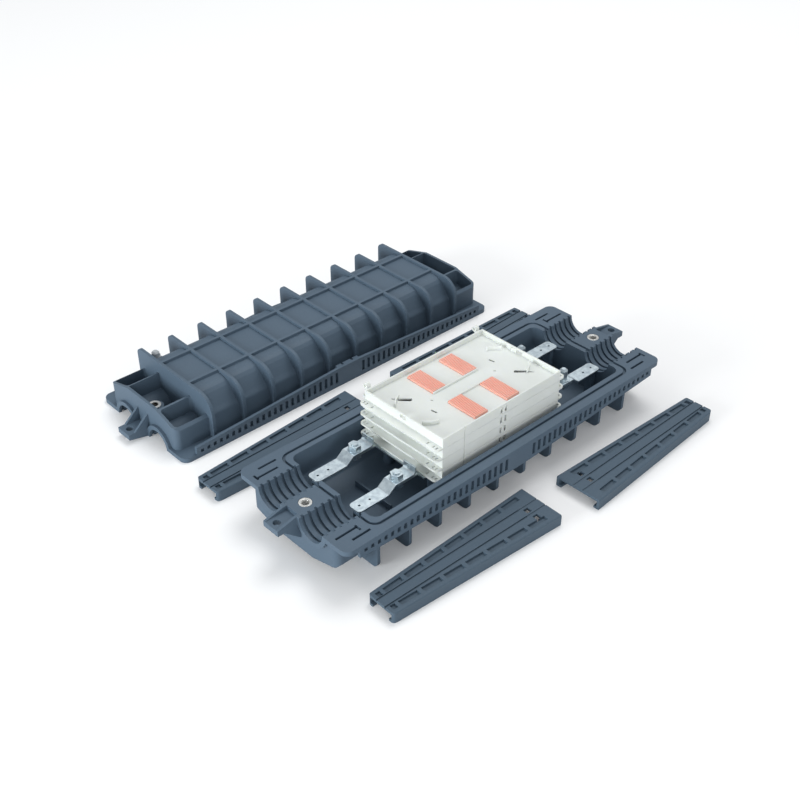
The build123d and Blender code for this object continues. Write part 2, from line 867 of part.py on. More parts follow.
def splice_tray(level, has_pins, has_screw_holes):
    """Moulded tray: raised plate with holder wells, tie lips, hinge hooks at the back."""
    front_y = tray_centre_y - tray_half_width
    back_y = tray_centre_y + tray_half_width
    inner_length = 2 * (tray_body_half - tray_wall)
    inner_width = 2 * (tray_half_width - tray_wall)
    well_length = holder_width + 2 * well_gap
    well_width = holder_length + 2 * well_gap
    well_places = [
        (holder_shift_x + end * holder_station_x, tray_centre_y + side * holder_station_y)
        for end in (-1, 1)
        for side in (-1, 1)
    ]
    with BuildPart() as tray:
        with BuildSketch(Plane.XY.offset(level)):
            with Locations((0, tray_centre_y)):
                RectangleRounded(2 * tray_lip_half, 2 * tray_half_width, tray_lip_corner)
                for end in (-1, 1):
                    for side in (-1, 1):
                        for inset in tie_slot_insets:
                            with Locations((end * tie_slot_station, side * (tray_half_width - inset))):
                                Rectangle(tie_slot_length, tie_slot_width, mode=Mode.SUBTRACT)
                Rectangle(inner_length, inner_width, mode=Mode.SUBTRACT)
        extrude(amount=tray_floor)

        # Raised plate with slots, and a well for each holder
        with BuildSketch(Plane.XY.offset(level + tray_plate_rise)):
            with Locations((0, tray_centre_y)):
                Rectangle(inner_length + tray_wall, inner_width + tray_wall)
            for end in (-1, 1):
                with Locations((end * plate_slot_station, tray_centre_y + end * plate_slot_across)):
                    Rectangle(plate_slot_length, plate_slot_width, mode=Mode.SUBTRACT)
                with Locations((end * plate_square_station, tray_centre_y - end * plate_square_across)):
                    Rectangle(plate_square, plate_square, mode=Mode.SUBTRACT)
                with Locations((end * plate_wedge_station, tray_centre_y - end * plate_wedge_across)):
                    Rectangle(plate_wedge_width, plate_wedge_length, mode=Mode.SUBTRACT)
        extrude(amount=-tray_floor)
        with BuildSketch(Plane.XY.offset(level)):
            with Locations(*well_places):
                Rectangle(well_length + 2 * well_wall, well_width + 2 * well_wall)
            if has_screw_holes:
                with GridLocations(2 * tray_screw_station, 2 * pad_station_y, 2, 2):
                    Circle(tray_boss_diameter / 2)
        extrude(amount=tray_plate_rise)
        with BuildSketch(Plane.XY.offset(level + tray_floor)):
            with Locations(*well_places):
                Rectangle(well_length, well_width)
        extrude(amount=tray_plate_rise, mode=Mode.SUBTRACT)
        if has_screw_holes:
            with BuildSketch(Plane.XY.offset(level)):
                with GridLocations(2 * tray_screw_station, 2 * pad_station_y, 2, 2):
                    Circle(tray_screw_diameter / 2 + pin_clearance)
            extrude(amount=tray_plate_rise, mode=Mode.SUBTRACT)

        # Walls, curved fibre guides and their windows
        with BuildSketch(Plane.XY.offset(level)):
            with Locations((0, tray_centre_y)):
                Rectangle(2 * tray_body_half, 2 * tray_half_width)
                Rectangle(inner_length, inner_width, mode=Mode.SUBTRACT)
        extrude(amount=tray_height)
        with BuildSketch(Plane.XY.offset(level + tray_plate_rise)):
            for end in (-1, 1):
                centre = (end * tray_guide_station, tray_centre_y)
                for start in tray_guide_starts:
                    turned = start if end > 0 else start + 180
                    path = CenterArc(centre, tray_guide_radius, turned, tray_guide_span, mode=Mode.PRIVATE)
                    SlotArc(path, tray_guide_wall)
        extrude(amount=tray_guide_height)
        with BuildSketch(Plane.YZ.offset(-tray_body_half - tray_wall)):
            with Locations((tray_centre_y, level + tray_plate_rise)):
                Rectangle(tray_end_opening, tray_end_opening_height, align=(Align.CENTER, Align.MIN))
        extrude(amount=2 * tray_body_half + 2 * tray_wall, mode=Mode.SUBTRACT)
        with BuildSketch(Plane.XZ.offset(-front_y)):
            with Locations((-tray_groove_station, level)):
                Rectangle(tray_groove_width, tray_height, align=(Align.CENTER, Align.MIN))
        extrude(amount=-tray_groove_width / 2, mode=Mode.SUBTRACT)
        with BuildSketch(Plane.XZ.offset(-front_y)):
            with Locations((0, level + tray_floor)):
                Rectangle(latch_window_width, latch_window_height, align=(Align.CENTER, Align.MIN))
                Rectangle(
                    latch_tongue_width,
                    latch_window_height,
                    align=(Align.CENTER, Align.MIN),
                    mode=Mode.SUBTRACT,
                )
        extrude(amount=-tray_wall, mode=Mode.SUBTRACT)

        # Open hooks for the tray above
        hook_radius = pin_radius + pin_clearance + hook_wall
        hook_level = level + tray_pitch + hinge_rise
        for end in (-1, 1):
            with BuildSketch(Plane.YZ.offset(end * hinge_station)):
                with Locations((hinge_y, hook_level)):
                    Circle(hook_radius)
                with BuildLine():
                    Polyline(
                        (back_y - tray_wall / 2, level + tray_height - hook_stem),
                        (back_y - tray_wall / 2, level + tray_height),
                        (hinge_y, level + tray_height),
                        (hinge_y + hook_radius / 2, level + tray_height - hook_wall / 2),
                        close=True,
                    )
                make_face()
                with Locations((hinge_y, hook_level)):
                    Circle(pin_radius + pin_clearance, mode=Mode.SUBTRACT)
                with Locations(Location((hinge_y, hook_level), (0, 0, hook_mouth_angle))):
                    Rectangle(
                        2 * hook_radius,
                        hook_mouth,
                        align=(Align.MIN, Align.CENTER),
                        mode=Mode.SUBTRACT,
                    )
            extrude(amount=hook_width / 2, both=True)

        # Hinge pins held by two arms each
        if has_pins:
            arm_offset = hook_width / 2 + hinge_side_gap + hinge_arm / 2
            pin_level = level + hinge_rise
            for end in (-1, 1):
                arm_planes = [Plane.YZ.offset(end * hinge_station + way * arm_offset) for way in (-1, 1)]
                with BuildSketch(*arm_planes):
                    with Locations((hinge_y, pin_level)):
                        Circle(hinge_rise)
                    with Locations((back_y - tray_wall / 2, level)):
                        Rectangle(hinge_reach + tray_wall / 2, 2 * hinge_rise, align=(Align.MIN, Align.MIN))
                extrude(amount=hinge_arm / 2, both=True)
                with BuildSketch(Plane.YZ.offset(end * hinge_station)):
                    with Locations((hinge_y, pin_level)):
                        Circle(pin_radius)
                extrude(amount=arm_offset, both=True)
    return tray.part


def splice_holder(level, place_x, place_y):
    """Ridged block with a row of slots for splice sleeves."""
    slot_pitch = holder_length / holder_slots
    with BuildPart() as holder:
        with BuildSketch(Plane.YZ.offset(place_x - holder_width / 2)):
            with Locations((place_y, level)):
                Rectangle(holder_length, holder_height, align=(Align.CENTER, Align.MIN))
            with Locations((place_y, level + holder_base)):
                with GridLocations(slot_pitch, 0, holder_slots, 1):
                    Rectangle(
                        holder_slot_width,
                        holder_height - holder_base,
                        align=(Align.CENTER, Align.MIN),
                        mode=Mode.SUBTRACT,
                    )
        extrude(amount=holder_width)
    return holder.part


for number in range(tray_count):
    level = tray_bottom + number * tray_pitch
    tray_part = layout * splice_tray(level, number > 0, number == 0)
    tray_name = "splice_tray_" + str(number + 1)
    tray_part.label = tray_name
    export_step(tray_part, "parts/" + tray_name + ".step")
    for (end, side), where in bracket_names.items():
        holder_x = holder_shift_x + end * holder_station_x
        holder_y = tray_centre_y + side * holder_station_y
        holder_part = layout * splice_holder(level + tray_floor, holder_x, holder_y)
        holder_name = "splice_holder_" + str(number + 1) + "_" + where
        holder_part.label = holder_name
        export_step(holder_part, "parts/" + holder_name + ".step")

# Screws that hold the lowest tray to the carrier
with BuildPart() as tray_screws:
    with BuildSketch(Plane.XY.offset(tray_bottom + tray_plate_rise)):
        with GridLocations(2 * tray_screw_station, 2 * pad_station_y, 2, 2):
            Circle(tray_screw_diameter)
    extrude(amount=tray_screw_head)
    with BuildSketch(Plane.XY.offset(carrier_top - 2 * carrier_sheet)):
        with GridLocations(2 * tray_screw_station, 2 * pad_station_y, 2, 2):
            Circle(tray_screw_diameter / 2)
    extrude(amount=tray_bottom + tray_plate_rise - carrier_top + 2 * carrier_sheet)
screws_part = layout * tray_screws.part
screws_part.label = "tray_screws"
export_step(screws_part, "parts/tray_screws.step")
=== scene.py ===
"""Studio look of a fibre splice closure laid open beside its cover and clamps.

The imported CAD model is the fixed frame. This script gives every CAD node a
procedural material, adds the finer pieces that ride on the CAD bodies, and sets
up the studio. Lengths are metres in the frame of the CAD, unless a name or the
words of a class say mm.
"""

import json
import logging
import math
from collections.abc import Callable, Iterable, Sequence
from dataclasses import dataclass, field, replace
from enum import Enum
from functools import cache

import bmesh
import bpy
from mathutils import Matrix, Vector


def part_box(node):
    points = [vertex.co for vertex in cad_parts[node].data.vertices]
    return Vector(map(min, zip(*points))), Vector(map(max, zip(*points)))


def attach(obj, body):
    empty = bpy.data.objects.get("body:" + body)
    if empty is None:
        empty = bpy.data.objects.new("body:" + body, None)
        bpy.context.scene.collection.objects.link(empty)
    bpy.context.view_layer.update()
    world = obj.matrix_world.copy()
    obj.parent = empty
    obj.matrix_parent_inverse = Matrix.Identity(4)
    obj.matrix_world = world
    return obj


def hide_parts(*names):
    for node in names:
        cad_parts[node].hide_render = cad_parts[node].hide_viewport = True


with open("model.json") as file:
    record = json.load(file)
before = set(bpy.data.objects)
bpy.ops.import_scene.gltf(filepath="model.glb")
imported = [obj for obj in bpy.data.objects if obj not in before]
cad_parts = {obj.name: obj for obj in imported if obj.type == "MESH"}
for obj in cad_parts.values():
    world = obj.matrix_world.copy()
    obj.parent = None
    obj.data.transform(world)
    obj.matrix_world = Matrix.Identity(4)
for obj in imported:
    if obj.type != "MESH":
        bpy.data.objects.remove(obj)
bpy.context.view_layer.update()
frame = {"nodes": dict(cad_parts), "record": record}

logging.basicConfig(level=logging.INFO, format="%(levelname)s %(message)s")
log = logging.getLogger("closure")

MM = 0.001
TRAY_COUNT = 4
BOTH_WAYS = (-1, 1)
# Amount of the dust group's mask for a dust share of one.
DUST_PER_SHARE = 6.0

Colour = tuple[float, float, float]
Point = tuple[float, float]
Place = Callable[[float, float, float], Vector]


class Slot(Enum):
    """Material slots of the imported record."""

    SHELL = "shell"
    CLAMP = "clamp"
    ZINC = "zinc"
    INSERT = "insert_metal"
    TRAY = "tray"
    HOLDER = "holder"
    VALVE = "valve_metal"
    CAP = "valve_cap"


class Way(Enum):
    """A choice between two opposite directions of an axis."""

    @property
    def word(self) -> str:
        """The word that stands for it in the names of nodes."""
        return self.name.lower()


class End(Way):
    """The two ends of the closure along X."""

    NEAR = -1
    FAR = 1


class Side(Way):
    """The two sides of the closure along Y."""

    FRONT = -1
    BACK = 1


# Node helpers


def rgba(colour: Colour) -> tuple[float, float, float, float]:
    """Adds an alpha of one to a colour.

    Args:
        colour: linear red, green and blue.

    Returns:
        The colour as four numbers.
    """
    return (*colour, 1.0)


@dataclass
class NodeGraph:
    """Small helper that adds and links nodes in one node tree."""

    tree: bpy.types.NodeTree
    column: int = 0

    def add(self, kind: str, **settings: object) -> bpy.types.Node:
        """Adds a node and sets its properties.

        Args:
            kind: the node's type name.
            settings: property values by name.

        Returns:
            The new node.
        """
        node = self.tree.nodes.new(kind)
        node.location = (self.column * 180, 0)
        self.column += 1
        for name, value in settings.items():
            setattr(node, name, value)
        return node

    def link(self, source: bpy.types.NodeSocket, target: bpy.types.NodeSocket) -> None:
        """Links one socket to another.

        Args:
            source: the output socket.
            target: the input socket.
        """
        self.tree.links.new(source, target)

    def feed(self, value: bpy.types.NodeSocket | float | Colour, target: bpy.types.NodeSocket) -> None:
        """Links an input to a socket, or sets it to a constant.

        Args:
            value: a socket, a number or a colour.
            target: the input socket.
        """
        if isinstance(value, bpy.types.NodeSocket):
            self.link(value, target)
        elif isinstance(value, tuple):
            target.default_value = rgba(value)
        else:
            target.default_value = value

    def group(self, tree: bpy.types.NodeTree, **values: float) -> bpy.types.Node:
        """Adds a node group and sets its inputs.

        Args:
            tree: the group's tree.
            values: input values by name, with underscores for spaces.

        Returns:
            The group's node.
        """
        node = self.add("ShaderNodeGroup", node_tree=tree)
        for name, value in values.items():
            node.inputs[name.replace("_", " ")].default_value = value
        return node

    def calculate(self, operation: str, first: bpy.types.NodeSocket | float,
                  second: bpy.types.NodeSocket | float, clamp: bool = False) -> bpy.types.NodeSocket:
        """Adds a calculation with two values.

        Args:
            operation: the math node's operation.
            first: a socket or a number.
            second: a socket or a number.
            clamp: keeps the result between zero and one.

        Returns:
            The result's socket.
        """
        node = self.add("ShaderNodeMath", operation=operation, use_clamp=clamp)
        self.feed(first, node.inputs[0])
        self.feed(second, node.inputs[1])
        return node.outputs[0]

    def noise(self, vector: bpy.types.NodeSocket, scale: bpy.types.NodeSocket | float,
              detail: float = 3.0, roughness: float = 0.5) -> bpy.types.NodeSocket:
        """Adds a noise texture on the given coordinates.

        Args:
            vector: the coordinates.
            scale: cells per metre.
            detail: octaves.
            roughness: weight of the finer octaves.

        Returns:
            The noise value's socket.
        """
        node = self.add("ShaderNodeTexNoise")
        self.feed(scale, node.inputs["Scale"])
        self.feed(detail, node.inputs["Detail"])
        self.feed(roughness, node.inputs["Roughness"])
        self.link(vector, node.inputs["Vector"])
        return node.outputs["Fac"]

    def mapped(self, value: bpy.types.NodeSocket, low: float, high: float, to_low: float = 0.0,
               to_high: float = 1.0) -> bpy.types.NodeSocket:
        """Maps a value from one range to another, clamped.

        Args:
            value: the input value.
            low: input value that gives to_low.
            high: input value that gives to_high.
            to_low: result at low.
            to_high: result at high.

        Returns:
            The mapped value's socket.
        """
        node = self.add("ShaderNodeMapRange")
        ranges = {"From Min": low, "From Max": high, "To Min": to_low, "To Max": to_high}
        for name, number in ranges.items():
            self.feed(number, node.inputs[name])
        self.link(value, node.inputs["Value"])
        return node.outputs["Result"]

    def mixed(self, factor: bpy.types.NodeSocket, first: bpy.types.NodeSocket | Colour,
              second: bpy.types.NodeSocket | Colour) -> bpy.types.NodeSocket:
        """Mixes two colours.

        Args:
            factor: share of the second colour.
            first: a socket or a constant colour.
            second: a socket or a constant colour.

        Returns:
            The mixed colour's socket.
        """
        node = self.add("ShaderNodeMix", data_type="RGBA", blend_type="MIX")
        self.link(factor, node.inputs["Factor"])
        for name, colour in (("A", first), ("B", second)):
            target = [socket for socket in node.inputs if socket.name == name and socket.type == "RGBA"][0]
            self.feed(colour, target)
        return [socket for socket in node.outputs if socket.type == "RGBA"][0]

    def bump(self, height: bpy.types.NodeSocket, normal: bpy.types.NodeSocket, strength: float,
             depth: float) -> bpy.types.NodeSocket:
        """Adds relief to a normal.

        Args:
            height: the relief's height, from zero to one.
            normal: the normal without it.
            strength: share of the relief that shows.
            depth: depth of the relief in metres.

        Returns:
            The new normal's socket.
        """
        node = self.add("ShaderNodeBump")
        self.feed(strength, node.inputs["Strength"])
        self.feed(depth, node.inputs["Distance"])
        self.link(height, node.inputs["Height"])
        self.link(normal, node.inputs["Normal"])
        return node.outputs["Normal"]


def new_group(name: str, inputs: Sequence[tuple[str, str, float | Colour]],
              outputs: Sequence[tuple[str, str]]) -> tuple[bpy.types.NodeTree, NodeGraph]:
    """Makes a shader node group with named sockets.

    Args:
        name: the group's name.
        inputs: name, kind and default of each input.
        outputs: name and kind of each output.

    Returns:
        The group's tree and a graph helper for it.
    """
    tree = bpy.data.node_groups.new(name, "ShaderNodeTree")
    kinds = {"value": "NodeSocketFloat", "colour": "NodeSocketColor", "vector": "NodeSocketVector"}
    for label, kind, default in inputs:
        socket = tree.interface.new_socket(label, in_out="INPUT", socket_type=kinds[kind])
        if kind == "value":
            socket.default_value = default
        elif kind == "colour":
            socket.default_value = rgba(default)
    for label, kind in outputs:
        tree.interface.new_socket(label, in_out="OUTPUT", socket_type=kinds[kind])
    return tree, NodeGraph(tree)


def edge_group() -> bpy.types.NodeTree:
    """Rounded-edge normals and a mask that is bright along convex and concave edges.

    Returns:
        The node group "edge_rounding".
    """
    tree, graph = new_group(
        "edge_rounding",
        [("Radius", "value", 0.0006), ("Contrast", "value", 6.0)],
        [("Normal", "vector"), ("Edge", "value")],
    )
    source = graph.add("NodeGroupInput")
    bevel = graph.add("ShaderNodeBevel", samples=4)
    graph.link(source.outputs["Radius"], bevel.inputs["Radius"])
    geometry = graph.add("ShaderNodeNewGeometry")
    dot = graph.add("ShaderNodeVectorMath", operation="DOT_PRODUCT")
    graph.link(bevel.outputs["Normal"], dot.inputs[0])
    graph.link(geometry.outputs["Normal"], dot.inputs[1])
    bent = graph.calculate("SUBTRACT", 1.0, dot.outputs["Value"])
    edge = graph.calculate("MULTIPLY", bent, source.outputs["Contrast"], clamp=True)
    sink = graph.add("NodeGroupOutput")
    graph.link(bevel.outputs["Normal"], sink.inputs["Normal"])
    graph.link(edge, sink.inputs["Edge"])
    return tree


def mould_group() -> bpy.types.NodeTree:
    """Fine moulded grain: a height for bump and a slow mottling mask.

    Returns:
        The node group "mould_grain".
    """
    tree, graph = new_group(
        "mould_grain",
        [("Vector", "vector", 0.0), ("Grain Scale", "value", 1800.0), ("Mottle Scale", "value", 22.0)],
        [("Height", "value"), ("Mottle", "value")],
    )
    source = graph.add("NodeGroupInput")
    vector = source.outputs["Vector"]
    fine = graph.noise(vector, source.outputs["Grain Scale"], detail=2.0)
    slow = graph.noise(vector, source.outputs["Mottle Scale"], detail=5.0, roughness=0.62)
    sink = graph.add("NodeGroupOutput")
    graph.link(fine, sink.inputs["Height"])
    graph.link(slow, sink.inputs["Mottle"])
    return tree


def dust_group() -> bpy.types.NodeTree:
    """A mask of fine dust that settles on faces that look up.

    Returns:
        The node group "settled_dust".
    """
    tree, graph = new_group(
        "settled_dust",
        [("Vector", "vector", 0.0), ("Amount", "value", 0.1)],
        [("Mask", "value")],
    )
    source = graph.add("NodeGroupInput")
    geometry = graph.add("ShaderNodeNewGeometry")
    split = graph.add("ShaderNodeSeparateXYZ")
    graph.link(geometry.outputs["Normal"], split.inputs[0])
    up = graph.mapped(split.outputs["Z"], low=0.3, high=1.0)
    specks = graph.noise(source.outputs["Vector"], scale=340.0, detail=6.0, roughness=0.7)
    thick = graph.mapped(specks, low=0.42, high=0.75)
    both = graph.calculate("MULTIPLY", up, thick)
    amount = graph.calculate("MULTIPLY", both, source.outputs["Amount"], clamp=True)
    sink = graph.add("NodeGroupOutput")
    graph.link(amount, sink.inputs["Mask"])
    return tree


# Finishes


@dataclass(frozen=True)
class PlasticFinish:
    """A moulded plastic surface."""

    name: str
    base: Colour
    lighter: Colour
    edge: Colour
    dust: Colour
    roughness: float
    roughness_drop: float = 0.05
    roughness_rise: float = 0.07
    grain_mm: float = 0.5
    grain_depth_mm: float = 0.02
    edge_radius_mm: float = 0.6
    edge_share: float = 0.35
    dust_share: float = 0.06
    subsurface: float = 0.0
    subsurface_radius: Colour = (1.0, 1.0, 1.0)
    subsurface_mm: float = 1.0
    specular: float = 0.5


@dataclass(frozen=True)
class MetalFinish:
    """A plated or turned metal surface."""

    name: str
    base: Colour
    tarnish: Colour
    roughness: float
    rougher: float
    brush: tuple[float, float, float] = (1.0, 1.0, 1.0)
    brush_scale: float = 900.0
    brush_depth_mm: float = 0.01
    brush_strength: float = 0.6
    cloud_scale: float = 160.0
    edge_radius_mm: float = 0.3


SHELL_PLASTIC = PlasticFinish(
    name="shell_plastic",
    base=(0.077, 0.115, 0.158),
    lighter=(0.083, 0.123, 0.168),
    edge=(0.130, 0.175, 0.220),
    dust=(0.20, 0.24, 0.28),
    roughness=0.56,
    grain_depth_mm=0.006,
    dust_share=0.01,
    specular=0.28,
)
# The shell's plastic made darker: painted shade on the clamps, which are moulded of the same plastic as the
# shell.
CLAMP_PLASTIC_PAINTED_SHADE = replace(
    SHELL_PLASTIC,
    name="clamp_plastic",
    base=(0.063, 0.097, 0.133),
    lighter=(0.068, 0.104, 0.142),
)
TRAY_PLASTIC = PlasticFinish(
    name="tray_plastic",
    base=(0.69, 0.72, 0.69),
    lighter=(0.73, 0.76, 0.735),
    edge=(0.93, 0.95, 0.93),
    dust=(0.7, 0.7, 0.66),
    roughness=0.38,
    grain_mm=0.8,
    grain_depth_mm=0.006,
    edge_radius_mm=0.4,
    edge_share=0.3,
    dust_share=0.02,
    subsurface=0.25,
    subsurface_radius=(1.0, 0.98, 0.75),
    subsurface_mm=2.5,
)
HOLDER_RUBBER = PlasticFinish(
    name="holder_rubber",
    base=(0.90, 0.43, 0.34),
    lighter=(0.92, 0.48, 0.39),
    edge=(0.95, 0.60, 0.52),
    dust=(0.9, 0.7, 0.6),
    roughness=0.48,
    grain_mm=0.7,
    grain_depth_mm=0.01,
    edge_radius_mm=0.3,
    edge_share=0.35,
    dust_share=0.03,
    subsurface=0.3,
    subsurface_radius=(1.0, 0.45, 0.3),
    subsurface_mm=2.0,
)
CAP_PLASTIC = PlasticFinish(
    name="cap_plastic",
    base=(0.42, 0.45, 0.47),
    lighter=(0.48, 0.51, 0.53),
    edge=(0.6, 0.63, 0.65),
    dust=(0.6, 0.6, 0.6),
    roughness=0.4,
    edge_radius_mm=0.4,
)
ZINC_PLATE = MetalFinish(
    name="zinc_plate",
    base=(0.58, 0.66, 0.70),
    tarnish=(0.38, 0.45, 0.50),
    roughness=0.34,
    rougher=0.48,
    brush=(0.08, 1.0, 1.0),
)
TURNED_STEEL = MetalFinish(
    name="turned_steel",
    base=(0.80, 0.80, 0.78),
    tarnish=(0.58, 0.58, 0.56),
    roughness=0.22,
    rougher=0.38,
    brush=(1.0, 1.0, 0.1),
)
VALVE_STEEL = MetalFinish(
    name="valve_steel",
    base=(0.50, 0.52, 0.53),
    tarnish=(0.34, 0.36, 0.38),
    roughness=0.35,
    rougher=0.5,
)
PLASTICS = {
    Slot.SHELL: SHELL_PLASTIC,
    Slot.CLAMP: CLAMP_PLASTIC_PAINTED_SHADE,
    Slot.TRAY: TRAY_PLASTIC,
    Slot.HOLDER: HOLDER_RUBBER,
    Slot.CAP: CAP_PLASTIC,
}
METALS = {Slot.ZINC: ZINC_PLATE, Slot.INSERT: TURNED_STEEL, Slot.VALVE: VALVE_STEEL}


def paint(mesh: bpy.types.Mesh, material: bpy.types.Material) -> None:
    """Gives all faces of a mesh one material.

    Args:
        mesh: the mesh.
        material: its only material.
    """
    mesh.materials.clear()
    mesh.materials.append(material)
    for polygon in mesh.polygons:
        polygon.material_index = 0


@dataclass
class MaterialShop:
    """Builds each procedural material once."""

    edge: bpy.types.NodeTree = field(default_factory=edge_group)
    mould: bpy.types.NodeTree = field(default_factory=mould_group)
    dust: bpy.types.NodeTree = field(default_factory=dust_group)
    made: dict[str, bpy.types.Material] = field(default_factory=dict)

    def _start(self, name: str) -> tuple[NodeGraph, bpy.types.Node, bpy.types.NodeSocket]:
        """Starts a material with a shader that feeds its output.

        Args:
            name: the material's name.

        Returns:
            A graph helper, the shader node and the socket of Object coordinates.
        """
        material = bpy.data.materials.new(name)
        material.use_nodes = True
        material.node_tree.nodes.clear()
        self.made[name] = material
        graph = NodeGraph(material.node_tree)
        shader = graph.add("ShaderNodeBsdfPrincipled")
        output = graph.add("ShaderNodeOutputMaterial")
        graph.link(shader.outputs["BSDF"], output.inputs["Surface"])
        coordinates = graph.add("ShaderNodeTexCoord")
        return graph, shader, coordinates.outputs["Object"]

    def plastic(self, finish: PlasticFinish) -> bpy.types.Material:
        """Moulded plastic with grain, mottling, pale edges and a little dust.

        Args:
            finish: the plastic's values.

        Returns:
            The material.
        """
        if finish.name in self.made:
            return self.made[finish.name]
        graph, shader, where = self._start(finish.name)
        grain = graph.group(self.mould, Grain_Scale=1 / MM / finish.grain_mm)
        graph.link(where, grain.inputs["Vector"])
        edges = graph.group(self.edge, Radius=finish.edge_radius_mm * MM)
        dust = graph.group(self.dust, Amount=finish.dust_share * DUST_PER_SHARE)
        graph.link(where, dust.inputs["Vector"])

        mottle = graph.mapped(grain.outputs["Mottle"], low=0.35, high=0.65)
        colour = graph.mixed(mottle, finish.base, finish.lighter)
        edge_share = graph.mapped(edges.outputs["Edge"], low=0.0, high=1.0, to_high=finish.edge_share)
        colour = graph.mixed(edge_share, colour, finish.edge)
        colour = graph.mixed(dust.outputs["Mask"], colour, finish.dust)
        graph.link(colour, shader.inputs["Base Color"])
        rough = graph.mapped(grain.outputs["Mottle"], low=0.3, high=0.7,
                             to_low=finish.roughness - finish.roughness_drop,
                             to_high=finish.roughness + finish.roughness_rise)
        graph.link(rough, shader.inputs["Roughness"])
        normal = graph.bump(grain.outputs["Height"], edges.outputs["Normal"], strength=1.0,
                            depth=finish.grain_depth_mm * MM)
        graph.link(normal, shader.inputs["Normal"])
        shader.inputs["Specular IOR Level"].default_value = finish.specular
        if finish.subsurface > 0:
            shader.inputs["Subsurface Weight"].default_value = finish.subsurface
            shader.inputs["Subsurface Radius"].default_value = finish.subsurface_radius
            shader.inputs["Subsurface Scale"].default_value = finish.subsurface_mm * MM
        return self.made[finish.name]

    def metal(self, finish: MetalFinish) -> bpy.types.Material:
        """Metal with fine brushing, cloudy tarnish and softened edges.

        Args:
            finish: the metal's values.

        Returns:
            The material.
        """
        if finish.name in self.made:
            return self.made[finish.name]
        graph, shader, where = self._start(finish.name)
        stretch = graph.add("ShaderNodeMapping")
        stretch.inputs["Scale"].default_value = finish.brush
        graph.link(where, stretch.inputs["Vector"])
        brush = graph.noise(stretch.outputs["Vector"], finish.brush_scale, detail=4.0, roughness=0.6)
        cloud = graph.noise(where, finish.cloud_scale, detail=4.0, roughness=0.6)
        cloudy = graph.mapped(cloud, low=0.38, high=0.68)
        colour = graph.mixed(cloudy, finish.base, finish.tarnish)
        edges = graph.group(self.edge, Radius=finish.edge_radius_mm * MM)
        graph.link(colour, shader.inputs["Base Color"])
        rough = graph.mapped(brush, low=0.3, high=0.7, to_low=finish.roughness, to_high=finish.rougher)
        graph.link(rough, shader.inputs["Roughness"])
        normal = graph.bump(brush, edges.outputs["Normal"], strength=finish.brush_strength,
                            depth=finish.brush_depth_mm * MM)
        graph.link(normal, shader.inputs["Normal"])
        shader.inputs["Metallic"].default_value = 1.0
        return self.made[finish.name]


@dataclass
class CadDressing:
    """Gives each CAD node the material of its record slot."""

    shop: MaterialShop

    def finish_of(self, slot: Slot) -> bpy.types.Material:
        """The material that stands for a record slot.

        Args:
            slot: the record's slot.

        Returns:
            The material.
        """
        if slot in PLASTICS:
            return self.shop.plastic(PLASTICS[slot])
        return self.shop.metal(METALS[slot])

    def dress(self) -> None:
        """Assigns the materials to all CAD nodes."""
        slots = {row["node"]: row["material_slot"] for row in frame["record"]["subparts"]}
        for name, node in frame["nodes"].items():
            paint(node.data, self.finish_of(Slot(slots[name])))
        log.info("dressed %d CAD nodes", len(frame["nodes"]))


# Finer pieces


def mesh_from(bm: bmesh.types.BMesh, name: str) -> bpy.types.Mesh:
    """Turns a bmesh into a mesh with outward normals.

    Args:
        bm: the finished bmesh, which is freed.
        name: the mesh's name.

    Returns:
        The mesh.
    """
    bmesh.ops.recalc_face_normals(bm, faces=bm.faces)
    mesh = bpy.data.meshes.new(name)
    bm.to_mesh(mesh)
    bm.free()
    return mesh


def add_box(bm: bmesh.types.BMesh, low: Sequence[float], high: Sequence[float], turn: float = 0.0) -> None:
    """Adds a box between two corners.

    Args:
        bm: the bmesh to add to.
        low: lowest corner in metres.
        high: highest corner in metres.
        turn: turn about the box's own vertical axis in degrees.
    """
    middle = Vector([(a + b) / 2 for a, b in zip(low, high)])
    size = [b - a for a, b in zip(low, high)]
    matrix = (Matrix.Translation(middle) @ Matrix.Rotation(math.radians(turn), 4, "Z")
              @ Matrix.Diagonal((*size, 1.0)))
    bmesh.ops.create_cube(bm, size=1.0, matrix=matrix)


def add_ring(bm: bmesh.types.BMesh, centre: Vector, inner: float, outer: float, width: float,
             steps: int) -> None:
    """Adds a ring of rectangular section round a vertical axis.

    Args:
        bm: the bmesh to add to.
        centre: middle of the ring.
        inner: inner radius.
        outer: outer radius.
        width: width along the axis.
        steps: segments round the axis.
    """
    rings = []
    for step in range(steps):
        ray = Matrix.Rotation(math.tau * step / steps, 3, "Z") @ Vector((1.0, 0.0, 0.0))
        ring = [bm.verts.new(centre + ray * radius + Vector((0.0, 0.0, width * side / 2)))
                for radius, side in ((inner, -1), (outer, -1), (outer, 1), (inner, 1))]
        rings.append(ring)
    for first, second in zip(rings, rings[1:] + rings[:1]):
        join_rings(bm, first, second)


def join_rings(bm: bmesh.types.BMesh, first: Sequence[bmesh.types.BMVert],
               second: Sequence[bmesh.types.BMVert]) -> None:
    """Adds the faces between two rings of as many points.

    Args:
        bm: the bmesh to add to.
        first: points of the first ring.
        second: points of the second ring, in the same order.
    """
    for corner in range(len(first)):
        following = (corner + 1) % len(first)
        bm.faces.new((first[corner], first[following], second[following], second[corner]))


